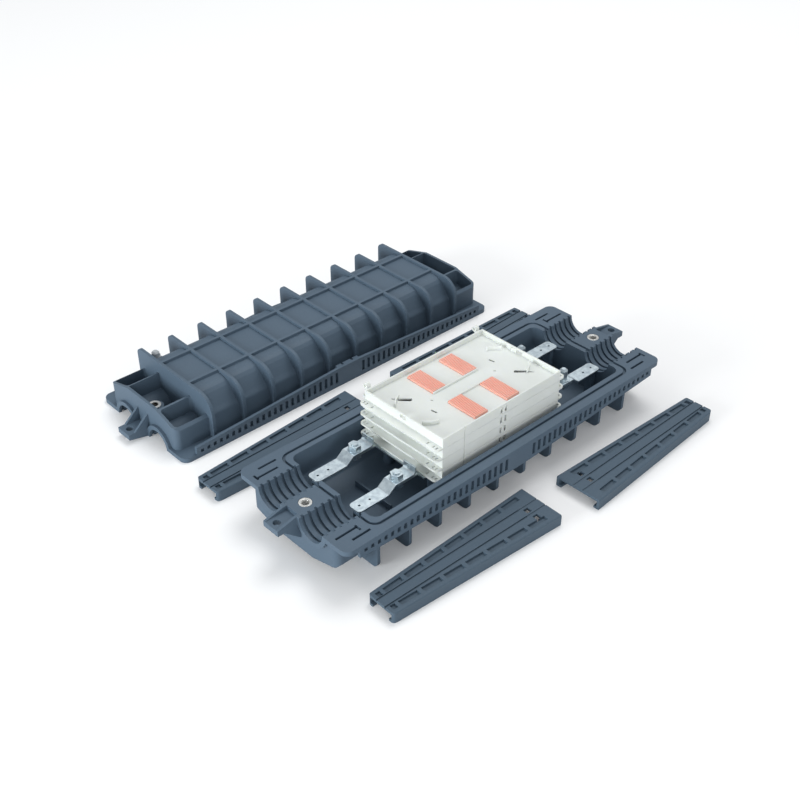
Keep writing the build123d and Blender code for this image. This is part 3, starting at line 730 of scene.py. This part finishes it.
def row_tree() -> bpy.types.NodeTree:
    """Geometry Nodes tree that stands copies of a part in an even row.

    Returns:
        The tree "row_of_parts".
    """
    tree = bpy.data.node_groups.new("row_of_parts", "GeometryNodeTree")
    for label, kind, default in (
        ("Part", "NodeSocketGeometry", None),
        ("Count", "NodeSocketInt", 4),
        ("Start", "NodeSocketVector", None),
        ("Step", "NodeSocketVector", None),
        ("Wobble", "NodeSocketFloat", 0.0),
        ("Seed", "NodeSocketInt", 7),
        ("Material", "NodeSocketMaterial", None),
    ):
        socket = tree.interface.new_socket(label, in_out="INPUT", socket_type=kind)
        if default is not None:
            socket.default_value = default
    tree.interface.new_socket("Row", in_out="OUTPUT", socket_type="NodeSocketGeometry")
    graph = NodeGraph(tree)
    source = graph.add("NodeGroupInput")
    line = graph.add("GeometryNodeMeshLine", mode="OFFSET")
    graph.link(source.outputs["Count"], line.inputs["Count"])
    graph.link(source.outputs["Start"], line.inputs["Start Location"])
    graph.link(source.outputs["Step"], line.inputs["Offset"])
    chance = graph.add("FunctionNodeRandomValue", data_type="FLOAT_VECTOR")
    graph.link(graph.calculate("MULTIPLY", source.outputs["Wobble"], -1.0), chance.inputs["Min"])
    graph.link(source.outputs["Wobble"], chance.inputs["Max"])
    graph.link(source.outputs["Seed"], chance.inputs["Seed"])
    moved = graph.add("GeometryNodeSetPosition")
    graph.link(line.outputs["Mesh"], moved.inputs["Geometry"])
    graph.link(chance.outputs["Value"], moved.inputs["Offset"])
    copies = graph.add("GeometryNodeInstanceOnPoints")
    graph.link(moved.outputs["Geometry"], copies.inputs["Points"])
    graph.link(source.outputs["Part"], copies.inputs["Instance"])
    real = graph.add("GeometryNodeRealizeInstances")
    graph.link(copies.outputs["Instances"], real.inputs["Geometry"])
    painted = graph.add("GeometryNodeSetMaterial")
    graph.link(real.outputs["Geometry"], painted.inputs["Geometry"])
    graph.link(source.outputs["Material"], painted.inputs["Material"])
    sink = graph.add("NodeGroupOutput")
    graph.link(painted.outputs["Geometry"], sink.inputs["Row"])
    return tree


@dataclass
class Bench:
    """Finishes pieces: builds rows, gives each piece the material of a record slot and a body."""

    dressing: CadDressing
    rows: bpy.types.NodeTree = field(default_factory=row_tree)
    placed: int = 0

    def row(self, part: bpy.types.Mesh, slot: Slot, count: int, start: Sequence[float],
            step: Sequence[float], wobble: float = 0.0, seed: int = 7) -> bpy.types.Mesh:
        """Builds an even row of a part with Geometry Nodes and returns it as a plain mesh.

        Args:
            part: the repeated part, drawn at the origin.
            slot: the record slot whose material the row takes.
            count: number of copies.
            start: place of the first copy.
            step: vector from one copy to the next.
            wobble: largest random offset per axis.
            seed: seed of the random offset.

        Returns:
            The row's mesh.
        """
        holder = bpy.data.objects.new("row_source", part)
        bpy.context.scene.collection.objects.link(holder)
        modifier = holder.modifiers.new("row", "NODES")
        modifier.node_group = self.rows
        values = {
            "Count": count,
            "Start": [float(v) for v in start],
            "Step": [float(v) for v in step],
            "Wobble": float(wobble),
            "Seed": seed,
            "Material": self.dressing.finish_of(slot),
        }
        for item in self.rows.interface.items_tree:
            if item.item_type == "SOCKET" and item.in_out == "INPUT" and item.name in values:
                modifier[item.identifier] = values[item.name]
        holder.update_tag()
        bpy.context.view_layer.update()
        graph = bpy.context.evaluated_depsgraph_get()
        mesh = bpy.data.meshes.new_from_object(holder.evaluated_get(graph), depsgraph=graph)
        holder.modifiers.remove(modifier)
        bpy.data.objects.remove(holder)
        return mesh

    def place(self, name: str, mesh: bpy.types.Mesh, body: str, slot: Slot,
              stands_for: Sequence[str] = ()) -> None:
        """Adds a finished piece to the scene.

        Args:
            name: the piece's name.
            mesh: its mesh, in the shared frame.
            body: the CAD body it rides on.
            slot: the record slot of its finish.
            stands_for: CAD nodes that it is shown in place of.
        """
        mesh.name = name
        paint(mesh, self.dressing.finish_of(slot))
        piece = bpy.data.objects.new(name, mesh)
        bpy.context.scene.collection.objects.link(piece)
        if stands_for:
            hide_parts(*stands_for)
        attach(piece, body)
        self.placed += 1
        log.info("%s rides %s, %d faces", name, body, len(mesh.polygons))


def joined(meshes: Iterable[bpy.types.Mesh], name: str) -> bpy.types.Mesh:
    """Joins several meshes into one.

    Args:
        meshes: the meshes, all in the shared frame.
        name: name of the result.

    Returns:
        The joined mesh.
    """
    bm = bmesh.new()
    for mesh in meshes:
        bm.from_mesh(mesh)
    result = bpy.data.meshes.new(name)
    bm.to_mesh(result)
    bm.free()
    return result


@cache
def middle_of(node: str) -> Vector:
    """Middle of a CAD node's box, worked out once for each node.

    Args:
        node: the node's name.

    Returns:
        The middle in metres, as a vector that can't be changed.
    """
    low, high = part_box(node)
    return ((low + high) / 2).freeze()


def tray_body(number: int) -> str:
    """The body that a tray and its holders ride on.

    Args:
        number: the tray, counted from the lowest, which is screwed down.

    Returns:
        The body's name.
    """
    return "closure" if number == 1 else f"tray_{number}"


def prism(bm: bmesh.types.BMesh, outline: Sequence[Point], start: float, end: float, place: Place) -> None:
    """Adds a prism between two stations.

    Args:
        bm: the bmesh to add to.
        outline: points of the section.
        start: first station.
        end: last station.
        place: turns station and section point into a place in metres.
    """
    rings = [[bm.verts.new(place(station, *point)) for point in outline] for station in (start, end)]
    bm.faces.new(rings[0])
    bm.faces.new(rings[1])
    join_rings(bm, *rings)


def working_copy(node: str) -> bpy.types.Object:
    """Copies a CAD node's mesh into a loose object that may be reshaped.

    Args:
        node: the node's name.

    Returns:
        The copy.
    """
    bm = bmesh.new()
    bm.from_mesh(frame["nodes"][node].data)
    bmesh.ops.remove_doubles(bm, verts=bm.verts, dist=1e-6)
    work = bpy.data.objects.new("work", mesh_from(bm, "work"))
    bpy.context.scene.collection.objects.link(work)
    return work


def combine(work: bpy.types.Object, tool_mesh: bpy.types.Mesh, operation: str) -> None:
    """Applies a Boolean to a working copy.

    Args:
        work: the working copy.
        tool_mesh: the shape to add or take away.
        operation: UNION or DIFFERENCE.
    """
    tool = bpy.data.objects.new("tool", tool_mesh)
    bpy.context.scene.collection.objects.link(tool)
    modifier = work.modifiers.new("cut", "BOOLEAN")
    modifier.operation = operation
    modifier.solver = "EXACT"
    modifier.object = tool
    bpy.context.view_layer.update()
    graph = bpy.context.evaluated_depsgraph_get()
    result = bpy.data.meshes.new_from_object(work.evaluated_get(graph), depsgraph=graph)
    work.modifiers.remove(modifier)
    bpy.data.objects.remove(tool)
    work.data = result


@dataclass
class HalfShell:
    """Panels and rail backs of one shell, drawn dome up from its parting plane in mm.

    The base is the turned one: it lies dome down, with its parting plane at its full height.
    """

    bench: Bench
    node: str
    height: float
    turned: bool
    fin_pitch: float = 45.1
    fin_count: int = 10
    fin_thickness: float = 4.0
    rib_inner: float = 27.2
    rib_outer: float = 31.4
    panel_overlap: float = 0.1
    panel_drop: float = 3.6
    panel_back_drop: float = 9.0
    shoulder_outside: tuple[Point, ...] = (
        (43.0, 4.6), (48.5, 6.6), (52.5, 10.0), (57.0, 16.0), (63.0, 24.7))
    shoulder_inside: tuple[Point, ...] = ((61.5, 25.5), (52.0, 16.0))
    shoulder_back_drop: float = 9.5
    rail_half_length: float = 237.6
    rail_middle: float = 27.0
    rail_tip: float = 15.5
    rail_inner_face: float = 86.0
    back_start: float = 2.0
    back_level_end: float = 18.0
    back_foot: float = 1.0
    back_middle_drop: float = 1.5
    back_tip_drop: float = 1.0
    back_inside: float = 0.6
    back_outside: float = 0.5

    def at(self, x: float, y: float, z: float) -> Vector:
        """Place of a point of the shell in the shared frame.

        Args:
            x: along the closure.
            y: across the closure.
            z: up from the parting plane.

        Returns:
            The place in metres.
        """
        middle = middle_of(self.node)
        if self.turned:
            return Vector((middle.x + x * MM, middle.y - y * MM, (self.height - z) * MM))
        return Vector((middle.x + x * MM, middle.y + y * MM, z * MM))

    def build(self) -> None:
        """Adds the shell's panels and rail backs."""
        stem = self.node.replace("_shell", "")
        self.bench.place(stem + "_panels", self._panels(), "closure", Slot.SHELL)
        self.bench.place(stem + "_rail_backs", self._rail_backs(), "closure", Slot.SHELL)

    def _sections(self) -> list[list[Point]]:
        """Sections of the top panel and of the two shoulders beside it.

        Returns:
            The three outlines, across and up.
        """
        half = self.rib_inner
        top = [(-half, self.panel_drop), (half, self.panel_drop), (half, self.panel_back_drop),
               (-half, self.panel_back_drop)]
        shoulder = [(self.rib_outer, self.panel_drop), *self.shoulder_outside, *self.shoulder_inside,
                    (self.rib_outer, self.shoulder_back_drop)]
        mirrored = [(-across, drop) for across, drop in shoulder]
        return [[(across, self.height - drop) for across, drop in outline]
                for outline in (top, shoulder, mirrored)]

    def _panels(self) -> bpy.types.Mesh:
        """Raised panels between the fins, as one row for each section.

        Returns:
            The panels' mesh.
        """
        half = (self.fin_pitch - self.fin_thickness + self.panel_overlap) / 2
        down = -1.0 if self.turned else 1.0
        start = self.at(-(self.fin_count - 2) / 2 * self.fin_pitch, 0.0, 0.0)
        rows = []
        for section in self._sections():
            bm = bmesh.new()
            prism(bm, section, -half, half, lambda x, y, z: Vector((x * MM, down * y * MM, down * z * MM)))
            rows.append(self.bench.row(mesh_from(bm, "panel"), Slot.SHELL, self.fin_count - 1, start,
                                       (self.fin_pitch * MM, 0.0, 0.0)))
        return joined(rows, "panels")

    def _rail_backs(self) -> bpy.types.Mesh:
        """Thin walls behind the rail windows, one for each quarter of the shell.

        Returns:
            The walls' mesh.
        """
        top = self.rail_middle - self.back_middle_drop
        outline = [(self.back_start, self.back_foot), (self.back_start, top), (self.back_level_end, top),
                   (self.rail_half_length, self.rail_tip - self.back_tip_drop),
                   (self.rail_half_length, self.back_foot)]
        bm = bmesh.new()
        for end in End:
            for side in Side:
                prism(bm, outline, self.rail_inner_face - self.back_inside,
                      self.rail_inner_face + self.back_outside,
                      lambda y, x, z: self.at(end.value * x, side.value * y, z))
        return mesh_from(bm, "rail_backs")


@dataclass(frozen=True)
class ClampPlace:
    """Where a clamp's narrow end lies, in mm from the base's middle, and its turn in degrees."""

    name: str
    x: float
    y: float
    turn: float


@dataclass
class ClampMouldings:
    """The wedge clamps with their rows of blind pockets, drawn from the narrow end in mm."""

    bench: Bench
    length: float = 234.0
    narrow: float = 39.0
    wide: float = 61.0
    height: float = 14.0
    web: float = 3.5
    strip_start: float = 3.0
    strip_end: float = 208.0
    strip_outer_inset: float = 3.8
    strip_inner_inset: float = 8.2
    first_pocket_start: float = 4.5
    first_pocket_length: float = 6.5
    pocket_start: float = 15.0
    pocket_pitch: float = 29.8
    pocket_length: float = 25.0
    pocket_outer_inset: float = 5.1
    pocket_inner_inset: float = 11.9
    pocket_depth: float = 2.8
    pocket_count: int = 7
    groove_offset: float = 6.5
    groove_width: float = 2.2
    groove_end: float = 205.0
    groove_depth: float = 1.5
    corner: float = 4.0
    corner_steps: int = 8
    skin: float = 0.01
    overrun: float = 1.0
    places: tuple[ClampPlace, ...] = (
        ClampPlace("front_near", -245.5, -128.0, -1.4),
        ClampPlace("front_far", 270.5, -143.7, 180.6),
        ClampPlace("back_near", -264.0, 142.0, 1.0),
        ClampPlace("back_far", 276.0, 149.0, 182.4),
    )

    def build(self) -> None:
        """Shows each CAD clamp with pockets, deeper grooves and a rounded narrow end."""
        for place in self.places:
            self._clamp(place)

    def half(self, station: float) -> float:
        """Half width of the clamp at a station along it.

        Args:
            station: distance from the narrow end in mm.

        Returns:
            Half width in mm.
        """
        return self.narrow / 2 + (self.wide - self.narrow) / 2 * station / self.length

    def _clamp(self, place: ClampPlace) -> None:
        """Fills, cuts and rounds a copy of one CAD clamp.

        Args:
            place: the clamp's place.
        """
        node = "wedge_clamp_" + place.name
        middle = middle_of("base_shell")
        spin = Matrix.Rotation(math.radians(place.turn), 3, "Z")
        shift = Vector((middle.x + place.x * MM, middle.y + place.y * MM, 0.0))

        def at(level: float, station: float, across: float) -> Vector:
            """Place of a point of the clamp in the shared frame."""
            return shift + spin @ Vector((station * MM, across * MM, level * MM))

        work = working_copy(node)
        combine(work, self._plugs(at), "UNION")
        combine(work, self._cuts(at), "DIFFERENCE")
        combine(work, self._corners(at), "DIFFERENCE")
        self.bench.place(node + "_moulded", work.data.copy(), "closure", Slot.CLAMP, stands_for=(node,))
        bpy.data.objects.remove(work)

    def _band(self, start: float, end: float, way: int, outer: float, inner: float) -> list[Point]:
        """Outline of a band that follows one tapered edge of the clamp.

        Args:
            start: station at which it starts.
            end: station at which it ends.
            way: the edge, -1 or 1.
            outer: inset of its outer line from the edge.
            inner: inset of its inner line from the edge.

        Returns:
            Station and offset of its four corners.
        """
        return [(station, way * (self.half(station) - inset))
                for station, inset in ((start, outer), (end, outer), (end, inner), (start, inner))]

    def _plugs(self, at: Place) -> bpy.types.Mesh:
        """Strips that close the CAD pockets before finer ones are cut.

        Args:
            at: gives the place of level, station and offset.

        Returns:
            The strips' mesh.
        """
        bm = bmesh.new()
        for way in BOTH_WAYS:
            strip = self._band(self.strip_start, self.strip_end, way, self.strip_outer_inset,
                               self.strip_inner_inset)
            prism(bm, strip, self.height - self.web, self.height - self.skin, at)
        return mesh_from(bm, "plugs")

    def _cuts(self, at: Place) -> bpy.types.Mesh:
        """Blind pockets along both edges and two long grooves between them.

        Args:
            at: gives the place of level, station and offset.

        Returns:
            The cutters' mesh.
        """
        starts = [self.pocket_start + number * self.pocket_pitch for number in range(self.pocket_count)]
        spans = [(self.first_pocket_start, self.first_pocket_length)]
        spans += [(start, self.pocket_length) for start in starts]
        above = self.height + self.overrun
        bm = bmesh.new()
        for way in BOTH_WAYS:
            for start, length in spans:
                pocket = self._band(start, start + length, way, self.pocket_outer_inset,
                                    self.pocket_inner_inset)
                prism(bm, pocket, self.height - self.pocket_depth, above, at)
            low = way * self.groove_offset - self.groove_width / 2
            high = way * self.groove_offset + self.groove_width / 2
            groove = [(-self.overrun, low), (self.groove_end, low), (self.groove_end, high),
                      (-self.overrun, high)]
            prism(bm, groove, self.height - self.groove_depth, above, at)
        return mesh_from(bm, "cuts")

    def _corners(self, at: Place) -> bpy.types.Mesh:
        """Cutters that round the two corners of the narrow end.

        Args:
            at: gives the place of level, station and offset.

        Returns:
            The cutters' mesh.
        """
        edge = self.narrow / 2
        bm = bmesh.new()
        for way in BOTH_WAYS:
            outline = [(-self.overrun, way * (edge + self.overrun)),
                       (-self.overrun, way * (edge - self.corner))]
            for step in range(self.corner_steps + 1):
                angle = math.radians(90.0 * step / self.corner_steps)
                outline.append((self.corner - self.corner * math.cos(angle),
                                way * (edge - self.corner + self.corner * math.sin(angle))))
            outline.append((self.corner, way * (edge + self.overrun)))
            prism(bm, outline, -self.overrun, self.height + self.overrun, at)
        return mesh_from(bm, "corners")


@dataclass(frozen=True)
class ThreadForm:
    """Radii, pitch and number of the turns of one kind of thread, in mm, and its finish."""

    inner: float
    outer: float
    pitch: float
    turns: int
    slot: Slot


@dataclass
class Threads:
    """Thread turns in the base inserts and on the ends of the near bolts, in mm."""

    bench: Bench
    turn_width: float = 0.5625
    segments: int = 28
    insert_form: ThreadForm = ThreadForm(4.05, 4.5, 1.25, 10, Slot.INSERT)
    insert_start: float = 47.5
    bolt_form: ThreadForm = ThreadForm(3.8, 4.15, 0.875, 2, Slot.ZINC)
    bolt_start_drop: float = 1.4

    def build(self) -> None:
        """Adds the thread rows."""
        rows = []
        for end in End:
            middle = middle_of("base_insert_" + end.word)
            rows.append(self._row(self.insert_form, (middle.x, middle.y, self.insert_start * MM)))
        self.bench.place("insert_threads", joined(rows, "threads"), "closure", Slot.INSERT)
        rows = []
        for side in Side:
            node = "bracket_bolt_near_" + side.word
            middle = middle_of(node)
            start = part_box(node)[1].z - self.bolt_start_drop * MM
            rows.append(self._row(self.bolt_form, (middle.x, middle.y, start)))
        self.bench.place("bolt_end_threads", joined(rows, "threads"), "closure", Slot.ZINC)

    def _row(self, form: ThreadForm, start: Sequence[float]) -> bpy.types.Mesh:
        """Stacks the turns of one thread.

        Args:
            form: the thread's form.
            start: place of the lowest turn in metres.

        Returns:
            The turns' mesh.
        """
        bm = bmesh.new()
        add_ring(bm, Vector((0.0, 0.0, 0.0)), form.inner * MM, form.outer * MM, self.turn_width * MM,
                 self.segments)
        return self.bench.row(mesh_from(bm, "thread_turn"), form.slot, form.turns, start,
                              (0.0, 0.0, form.pitch * MM))


@dataclass
class Washers:
    """Plain washers under the bracket bolts and cap nuts, in mm."""

    bench: Bench
    seat: float = 58.5
    thickness: float = 1.2
    inner: float = 4.6
    outer: float = 8.2
    segments: int = 32

    def build(self) -> None:
        """Adds the four washers as one piece."""
        bm = bmesh.new()
        for stem in ("bracket_bolt_near_", "bracket_nut_far_"):
            for side in Side:
                middle = middle_of(stem + side.word)
                centre = Vector((middle.x, middle.y, (self.seat + self.thickness / 2) * MM))
                add_ring(bm, centre, self.inner * MM, self.outer * MM, self.thickness * MM, self.segments)
        self.bench.place("bracket_washers", mesh_from(bm, "washers"), "closure", Slot.ZINC)


@dataclass
class SpliceHolders:
    """The splice holders with fine ridges.

    The ridges' foot and crest are shares of their pitch, to either side of a ridge's middle.
    """

    bench: Bench
    ridge_count: int = 19
    ridge_height_mm: float = 1.1
    ridge_foot: float = 0.42
    ridge_crest: float = 0.26
    ridge_sink_mm: float = 0.02
    wobble_mm: float = 0.04

    def build(self) -> None:
        """Shows each CAD holder as a block with fine ridges."""
        for number in range(1, TRAY_COUNT + 1):
            for end in End:
                for side in Side:
                    self._holder(f"splice_holder_{number}_{end.word}_{side.word}", number)

    def _holder(self, node: str, number: int) -> None:
        """Builds one holder in its node's box.

        Args:
            node: the CAD node it is shown in place of.
            number: the holder's tray.
        """
        low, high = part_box(node)
        pitch = (high.y - low.y) / self.ridge_count
        half = (high.x - low.x) / 2
        rise = self.ridge_height_mm * MM
        bm = bmesh.new()
        add_box(bm, low, (high.x, high.y, high.z - rise))
        block = mesh_from(bm, "block")
        bm = bmesh.new()
        profile = [(-self.ridge_foot, 0.0), (-self.ridge_crest, 1.0), (self.ridge_crest, 1.0),
                   (self.ridge_foot, 0.0)]
        prism(bm, profile, -half, half, lambda x, y, z: Vector((x, y * pitch, z * rise)))
        start = ((low.x + high.x) / 2, low.y + pitch / 2, high.z - rise - self.ridge_sink_mm * MM)
        ridges = self.bench.row(mesh_from(bm, "ridge"), Slot.HOLDER, self.ridge_count, start,
                                (0.0, pitch, 0.0), wobble=self.wobble_mm * MM, seed=number)
        self.bench.place(node + "_ridged", joined((block, ridges), "holder"), tray_body(number),
                         Slot.HOLDER, stands_for=(node,))


@dataclass(frozen=True)
class PlateMark:
    """A small block on a tray's plate: its middle and size in mm, and its turn in degrees."""

    x: float
    y: float
    length: float
    width: float
    turn: float = 0.0


@dataclass
class TrayMouldings:
    """The trays with the moulded detail of their plates, in mm from the plate's middle.

    A plate looks the same when it is turned half round, so each plug, slot and wedge is
    made twice, the second time on the opposite side of the middle.
    """

    bench: Bench
    bottom: float = 48.6
    pitch: float = 13.7
    plate_rise: float = 7.0
    plate_y: float = 0.5
    plugs: tuple[PlateMark, ...] = (
        PlateMark(60.0, 13.0, 8.6, 3.0), PlateMark(45.0, -5.0, 5.6, 5.6), PlateMark(70.0, -28.0, 4.6, 18.6))
    plug_low: float = -2.0
    plug_high: float = -0.01
    slots: tuple[PlateMark, ...] = (
        PlateMark(60.0, 13.0, 8.0, 2.6, 100.0), PlateMark(47.0, -4.0, 3.0, 1.6, -43.0))
    wedge_x: float = 70.0
    wedge_y: float = -27.0
    wedge_turn: float = -43.0
    wedge_outline: tuple[Point, ...] = (
        (-13.0, 0.6), (-3.0, -2.6), (8.5, -3.2), (10.5, -1.5), (10.5, 2.4), (-13.0, 1.6))
    cut_reach: float = 3.0
    ribs: tuple[PlateMark, ...] = (PlateMark(-2.0, -10.9, 71.0, 1.5), PlateMark(-2.0, 10.9, 71.0, 1.5))
    rib_low: float = -0.5
    rib_high: float = 2.4

    def build(self) -> None:
        """Shows each CAD tray with its finer slots and two low ribs."""
        for number in range(1, TRAY_COUNT + 1):
            self._tray(number)

    def _tray(self, number: int) -> None:
        """Fills, cuts and ribs a copy of one CAD tray.

        Args:
            number: the tray, counted from the lowest.
        """
        node = f"splice_tray_{number}"
        top = self.bottom + (number - 1) * self.pitch + self.plate_rise
        work = working_copy(node)
        plugs = bmesh.new()
        cuts = bmesh.new()
        for way in BOTH_WAYS:
            for mark in self.plugs:
                self._block(plugs, mark, way, top + self.plug_low, top + self.plug_high)
            self._wedge(cuts, way, top)
            for mark in self.slots:
                self._block(cuts, mark, way, top - self.cut_reach, top + self.cut_reach)
        ribs = bmesh.new()
        for rib in self.ribs:
            self._block(ribs, rib, 1, top + self.rib_low, top + self.rib_high)
        combine(work, mesh_from(plugs, "plugs"), "UNION")
        combine(work, mesh_from(cuts, "cuts"), "DIFFERENCE")
        combine(work, mesh_from(ribs, "ribs"), "UNION")
        self.bench.place(node + "_moulded", work.data.copy(), tray_body(number), Slot.TRAY,
                         stands_for=(node,))
        bpy.data.objects.remove(work)

    def _at(self, x: float, y: float) -> tuple[float, float]:
        """Place of a point of a plate in the shared frame.

        Args:
            x: along the tray.
            y: across the tray.

        Returns:
            The place in metres.
        """
        middle = middle_of("base_shell")
        return middle.x + x * MM, middle.y + (y + self.plate_y) * MM

    def _block(self, bm: bmesh.types.BMesh, mark: PlateMark, way: int, low: float, high: float) -> None:
        """Adds one block of a plate.

        Args:
            bm: the bmesh to add to.
            mark: the block's place and size.
            way: -1 or 1, the side of the middle on which it is made.
            low: height of its lower face.
            high: height of its upper face.
        """
        x, y = self._at(way * mark.x, way * mark.y)
        add_box(bm, (x - mark.length / 2 * MM, y - mark.width / 2 * MM, low * MM),
                (x + mark.length / 2 * MM, y + mark.width / 2 * MM, high * MM), mark.turn)

    def _wedge(self, bm: bmesh.types.BMesh, way: int, top: float) -> None:
        """Adds the cutter of one wedge-shaped slot.

        Args:
            bm: the bmesh to add to.
            way: -1 or 1, the side of the middle on which it is made.
            top: height of the plate's upper face.
        """
        x, y = self._at(way * self.wedge_x, way * self.wedge_y)
        turn = self.wedge_turn + (180.0 if way > 0 else 0.0)
        spin = Matrix.Rotation(math.radians(turn), 2)

        def at(level: float, along: float, across: float) -> Vector:
            """Place of a point of the slot in the shared frame."""
            where = spin @ Vector((along, across))
            return Vector((x + where.x * MM, y + where.y * MM, level * MM))

        prism(bm, self.wedge_outline, top - self.cut_reach, top + self.cut_reach, at)


# Studio


@dataclass(frozen=True)
class Lamp:
    """One soft rectangular studio lamp."""

    name: str
    place: tuple[float, float, float]
    aim: tuple[float, float, float]
    size: float
    watts: float
    colour: Colour = (1.0, 1.0, 1.0)


@dataclass
class Studio:
    """Floor, lamps, world and camera."""

    camera_place: tuple[float, float, float] = (-0.78834, -0.83918, 0.84249)
    camera_pitch: float = 35.48
    camera_yaw: float = 43.04
    lens_mm: float = 51.83
    sensor_mm: float = 36.0
    clip_start: float = 0.01
    clip_end: float = 50.0
    floor_size: float = 12.0
    floor_colour: Colour = (0.88, 0.88, 0.88)
    floor_glow: float = 0.08
    world_colour: Colour = (0.96, 0.98, 1.0)
    world_light: float = 0.62
    lamps: tuple[Lamp, ...] = (
        Lamp("key", (1.4, 0.6, 3.6), (0.0, 0.0, 0.0), 2.0, 58.0),
        Lamp("side", (-3.5, 0.4, 0.8), (0.0, 0.0, 0.0), 1.4, 92.0, (0.94, 0.98, 1.0)),
        Lamp("front", (-1.6, -3.4, 0.8), (0.0, 0.0, 0.0), 1.4, 34.0),
    )

    def build(self) -> None:
        """Adds everything of the studio to the scene."""
        self._world()
        self._floor()
        for lamp in self.lamps:
            self._lamp(lamp)
        self._camera()
        bpy.context.scene.view_settings.view_transform = "Standard"

    def _world(self) -> None:
        """Adds a world that looks white and lights the set softly."""
        world = bpy.data.worlds.new("studio_world")
        bpy.context.scene.world = world
        world.use_nodes = True
        world.node_tree.nodes.clear()
        graph = NodeGraph(world.node_tree)
        seen = graph.add("ShaderNodeBackground")
        seen.inputs["Strength"].default_value = 1.0
        light = graph.add("ShaderNodeBackground")
        light.inputs["Color"].default_value = rgba(self.world_colour)
        light.inputs["Strength"].default_value = self.world_light
        mix = graph.add("ShaderNodeMixShader")
        graph.link(seen_directly(graph), mix.inputs[0])
        graph.link(light.outputs[0], mix.inputs[1])
        graph.link(seen.outputs[0], mix.inputs[2])
        output = graph.add("ShaderNodeOutputWorld")
        graph.link(mix.outputs[0], output.inputs["Surface"])

    def _paper(self) -> bpy.types.Material:
        """White paper that glows a little where it is seen directly.

        Returns:
            The material.
        """
        material = bpy.data.materials.new("floor_paper")
        material.use_nodes = True
        material.node_tree.nodes.clear()
        graph = NodeGraph(material.node_tree)
        paper = graph.add("ShaderNodeBsdfDiffuse")
        paper.inputs["Color"].default_value = rgba(self.floor_colour)
        glow = graph.add("ShaderNodeEmission")
        level = graph.calculate("MULTIPLY", seen_directly(graph), self.floor_glow)
        graph.link(level, glow.inputs["Strength"])
        both = graph.add("ShaderNodeAddShader")
        graph.link(paper.outputs[0], both.inputs[0])
        graph.link(glow.outputs[0], both.inputs[1])
        output = graph.add("ShaderNodeOutputMaterial")
        graph.link(both.outputs[0], output.inputs["Surface"])
        return material

    def _floor(self) -> None:
        """Adds the paper floor under the set."""
        half = self.floor_size / 2
        corners = [(-half, -half, 0.0), (half, -half, 0.0), (half, half, 0.0), (-half, half, 0.0)]
        mesh = bpy.data.meshes.new("floor")
        mesh.from_pydata(corners, [], [(0, 1, 2, 3)])
        mesh.materials.append(self._paper())
        floor = bpy.data.objects.new("floor", mesh)
        bpy.context.scene.collection.objects.link(floor)

    def _lamp(self, lamp: Lamp) -> None:
        """Adds one lamp.

        Args:
            lamp: its values.
        """
        light = bpy.data.lights.new(lamp.name, "AREA")
        light.energy = lamp.watts
        light.size = lamp.size
        light.color = lamp.colour
        holder = bpy.data.objects.new(lamp.name, light)
        holder.location = lamp.place
        aim = Vector(lamp.aim) - Vector(lamp.place)
        holder.rotation_euler = aim.to_track_quat("-Z", "Y").to_euler()
        bpy.context.scene.collection.objects.link(holder)

    def _camera(self) -> None:
        """Adds the camera, fitted to the photo's view."""
        data = bpy.data.cameras.new("camera")
        data.lens = self.lens_mm
        data.sensor_width = self.sensor_mm
        data.clip_start = self.clip_start
        data.clip_end = self.clip_end
        camera = bpy.data.objects.new("camera", data)
        camera.location = self.camera_place
        camera.rotation_euler = (math.radians(90 - self.camera_pitch), 0.0, math.radians(-self.camera_yaw))
        bpy.context.scene.collection.objects.link(camera)
        bpy.context.scene.camera = camera


def seen_directly(graph: NodeGraph) -> bpy.types.NodeSocket:
    """A mask that is one for rays from the camera and for rays through glass.

    Args:
        graph: the graph to add it to.

    Returns:
        The mask's socket.
    """
    path = graph.add("ShaderNodeLightPath")
    return graph.calculate("MAXIMUM", path.outputs["Is Camera Ray"], path.outputs["Is Transmission Ray"])


def main() -> None:
    """Builds the whole scene."""
    dressing = CadDressing(MaterialShop())
    dressing.dress()
    bench = Bench(dressing)
    HalfShell(bench, "base_shell", 60.0, True).build()
    HalfShell(bench, "cover_shell", 62.0, False).build()
    ClampMouldings(bench).build()
    Threads(bench).build()
    Washers(bench).build()
    SpliceHolders(bench).build()
    TrayMouldings(bench).build()
    log.info("%d pieces placed", bench.placed)
    Studio().build()


if __name__ == "__main__":
    main()
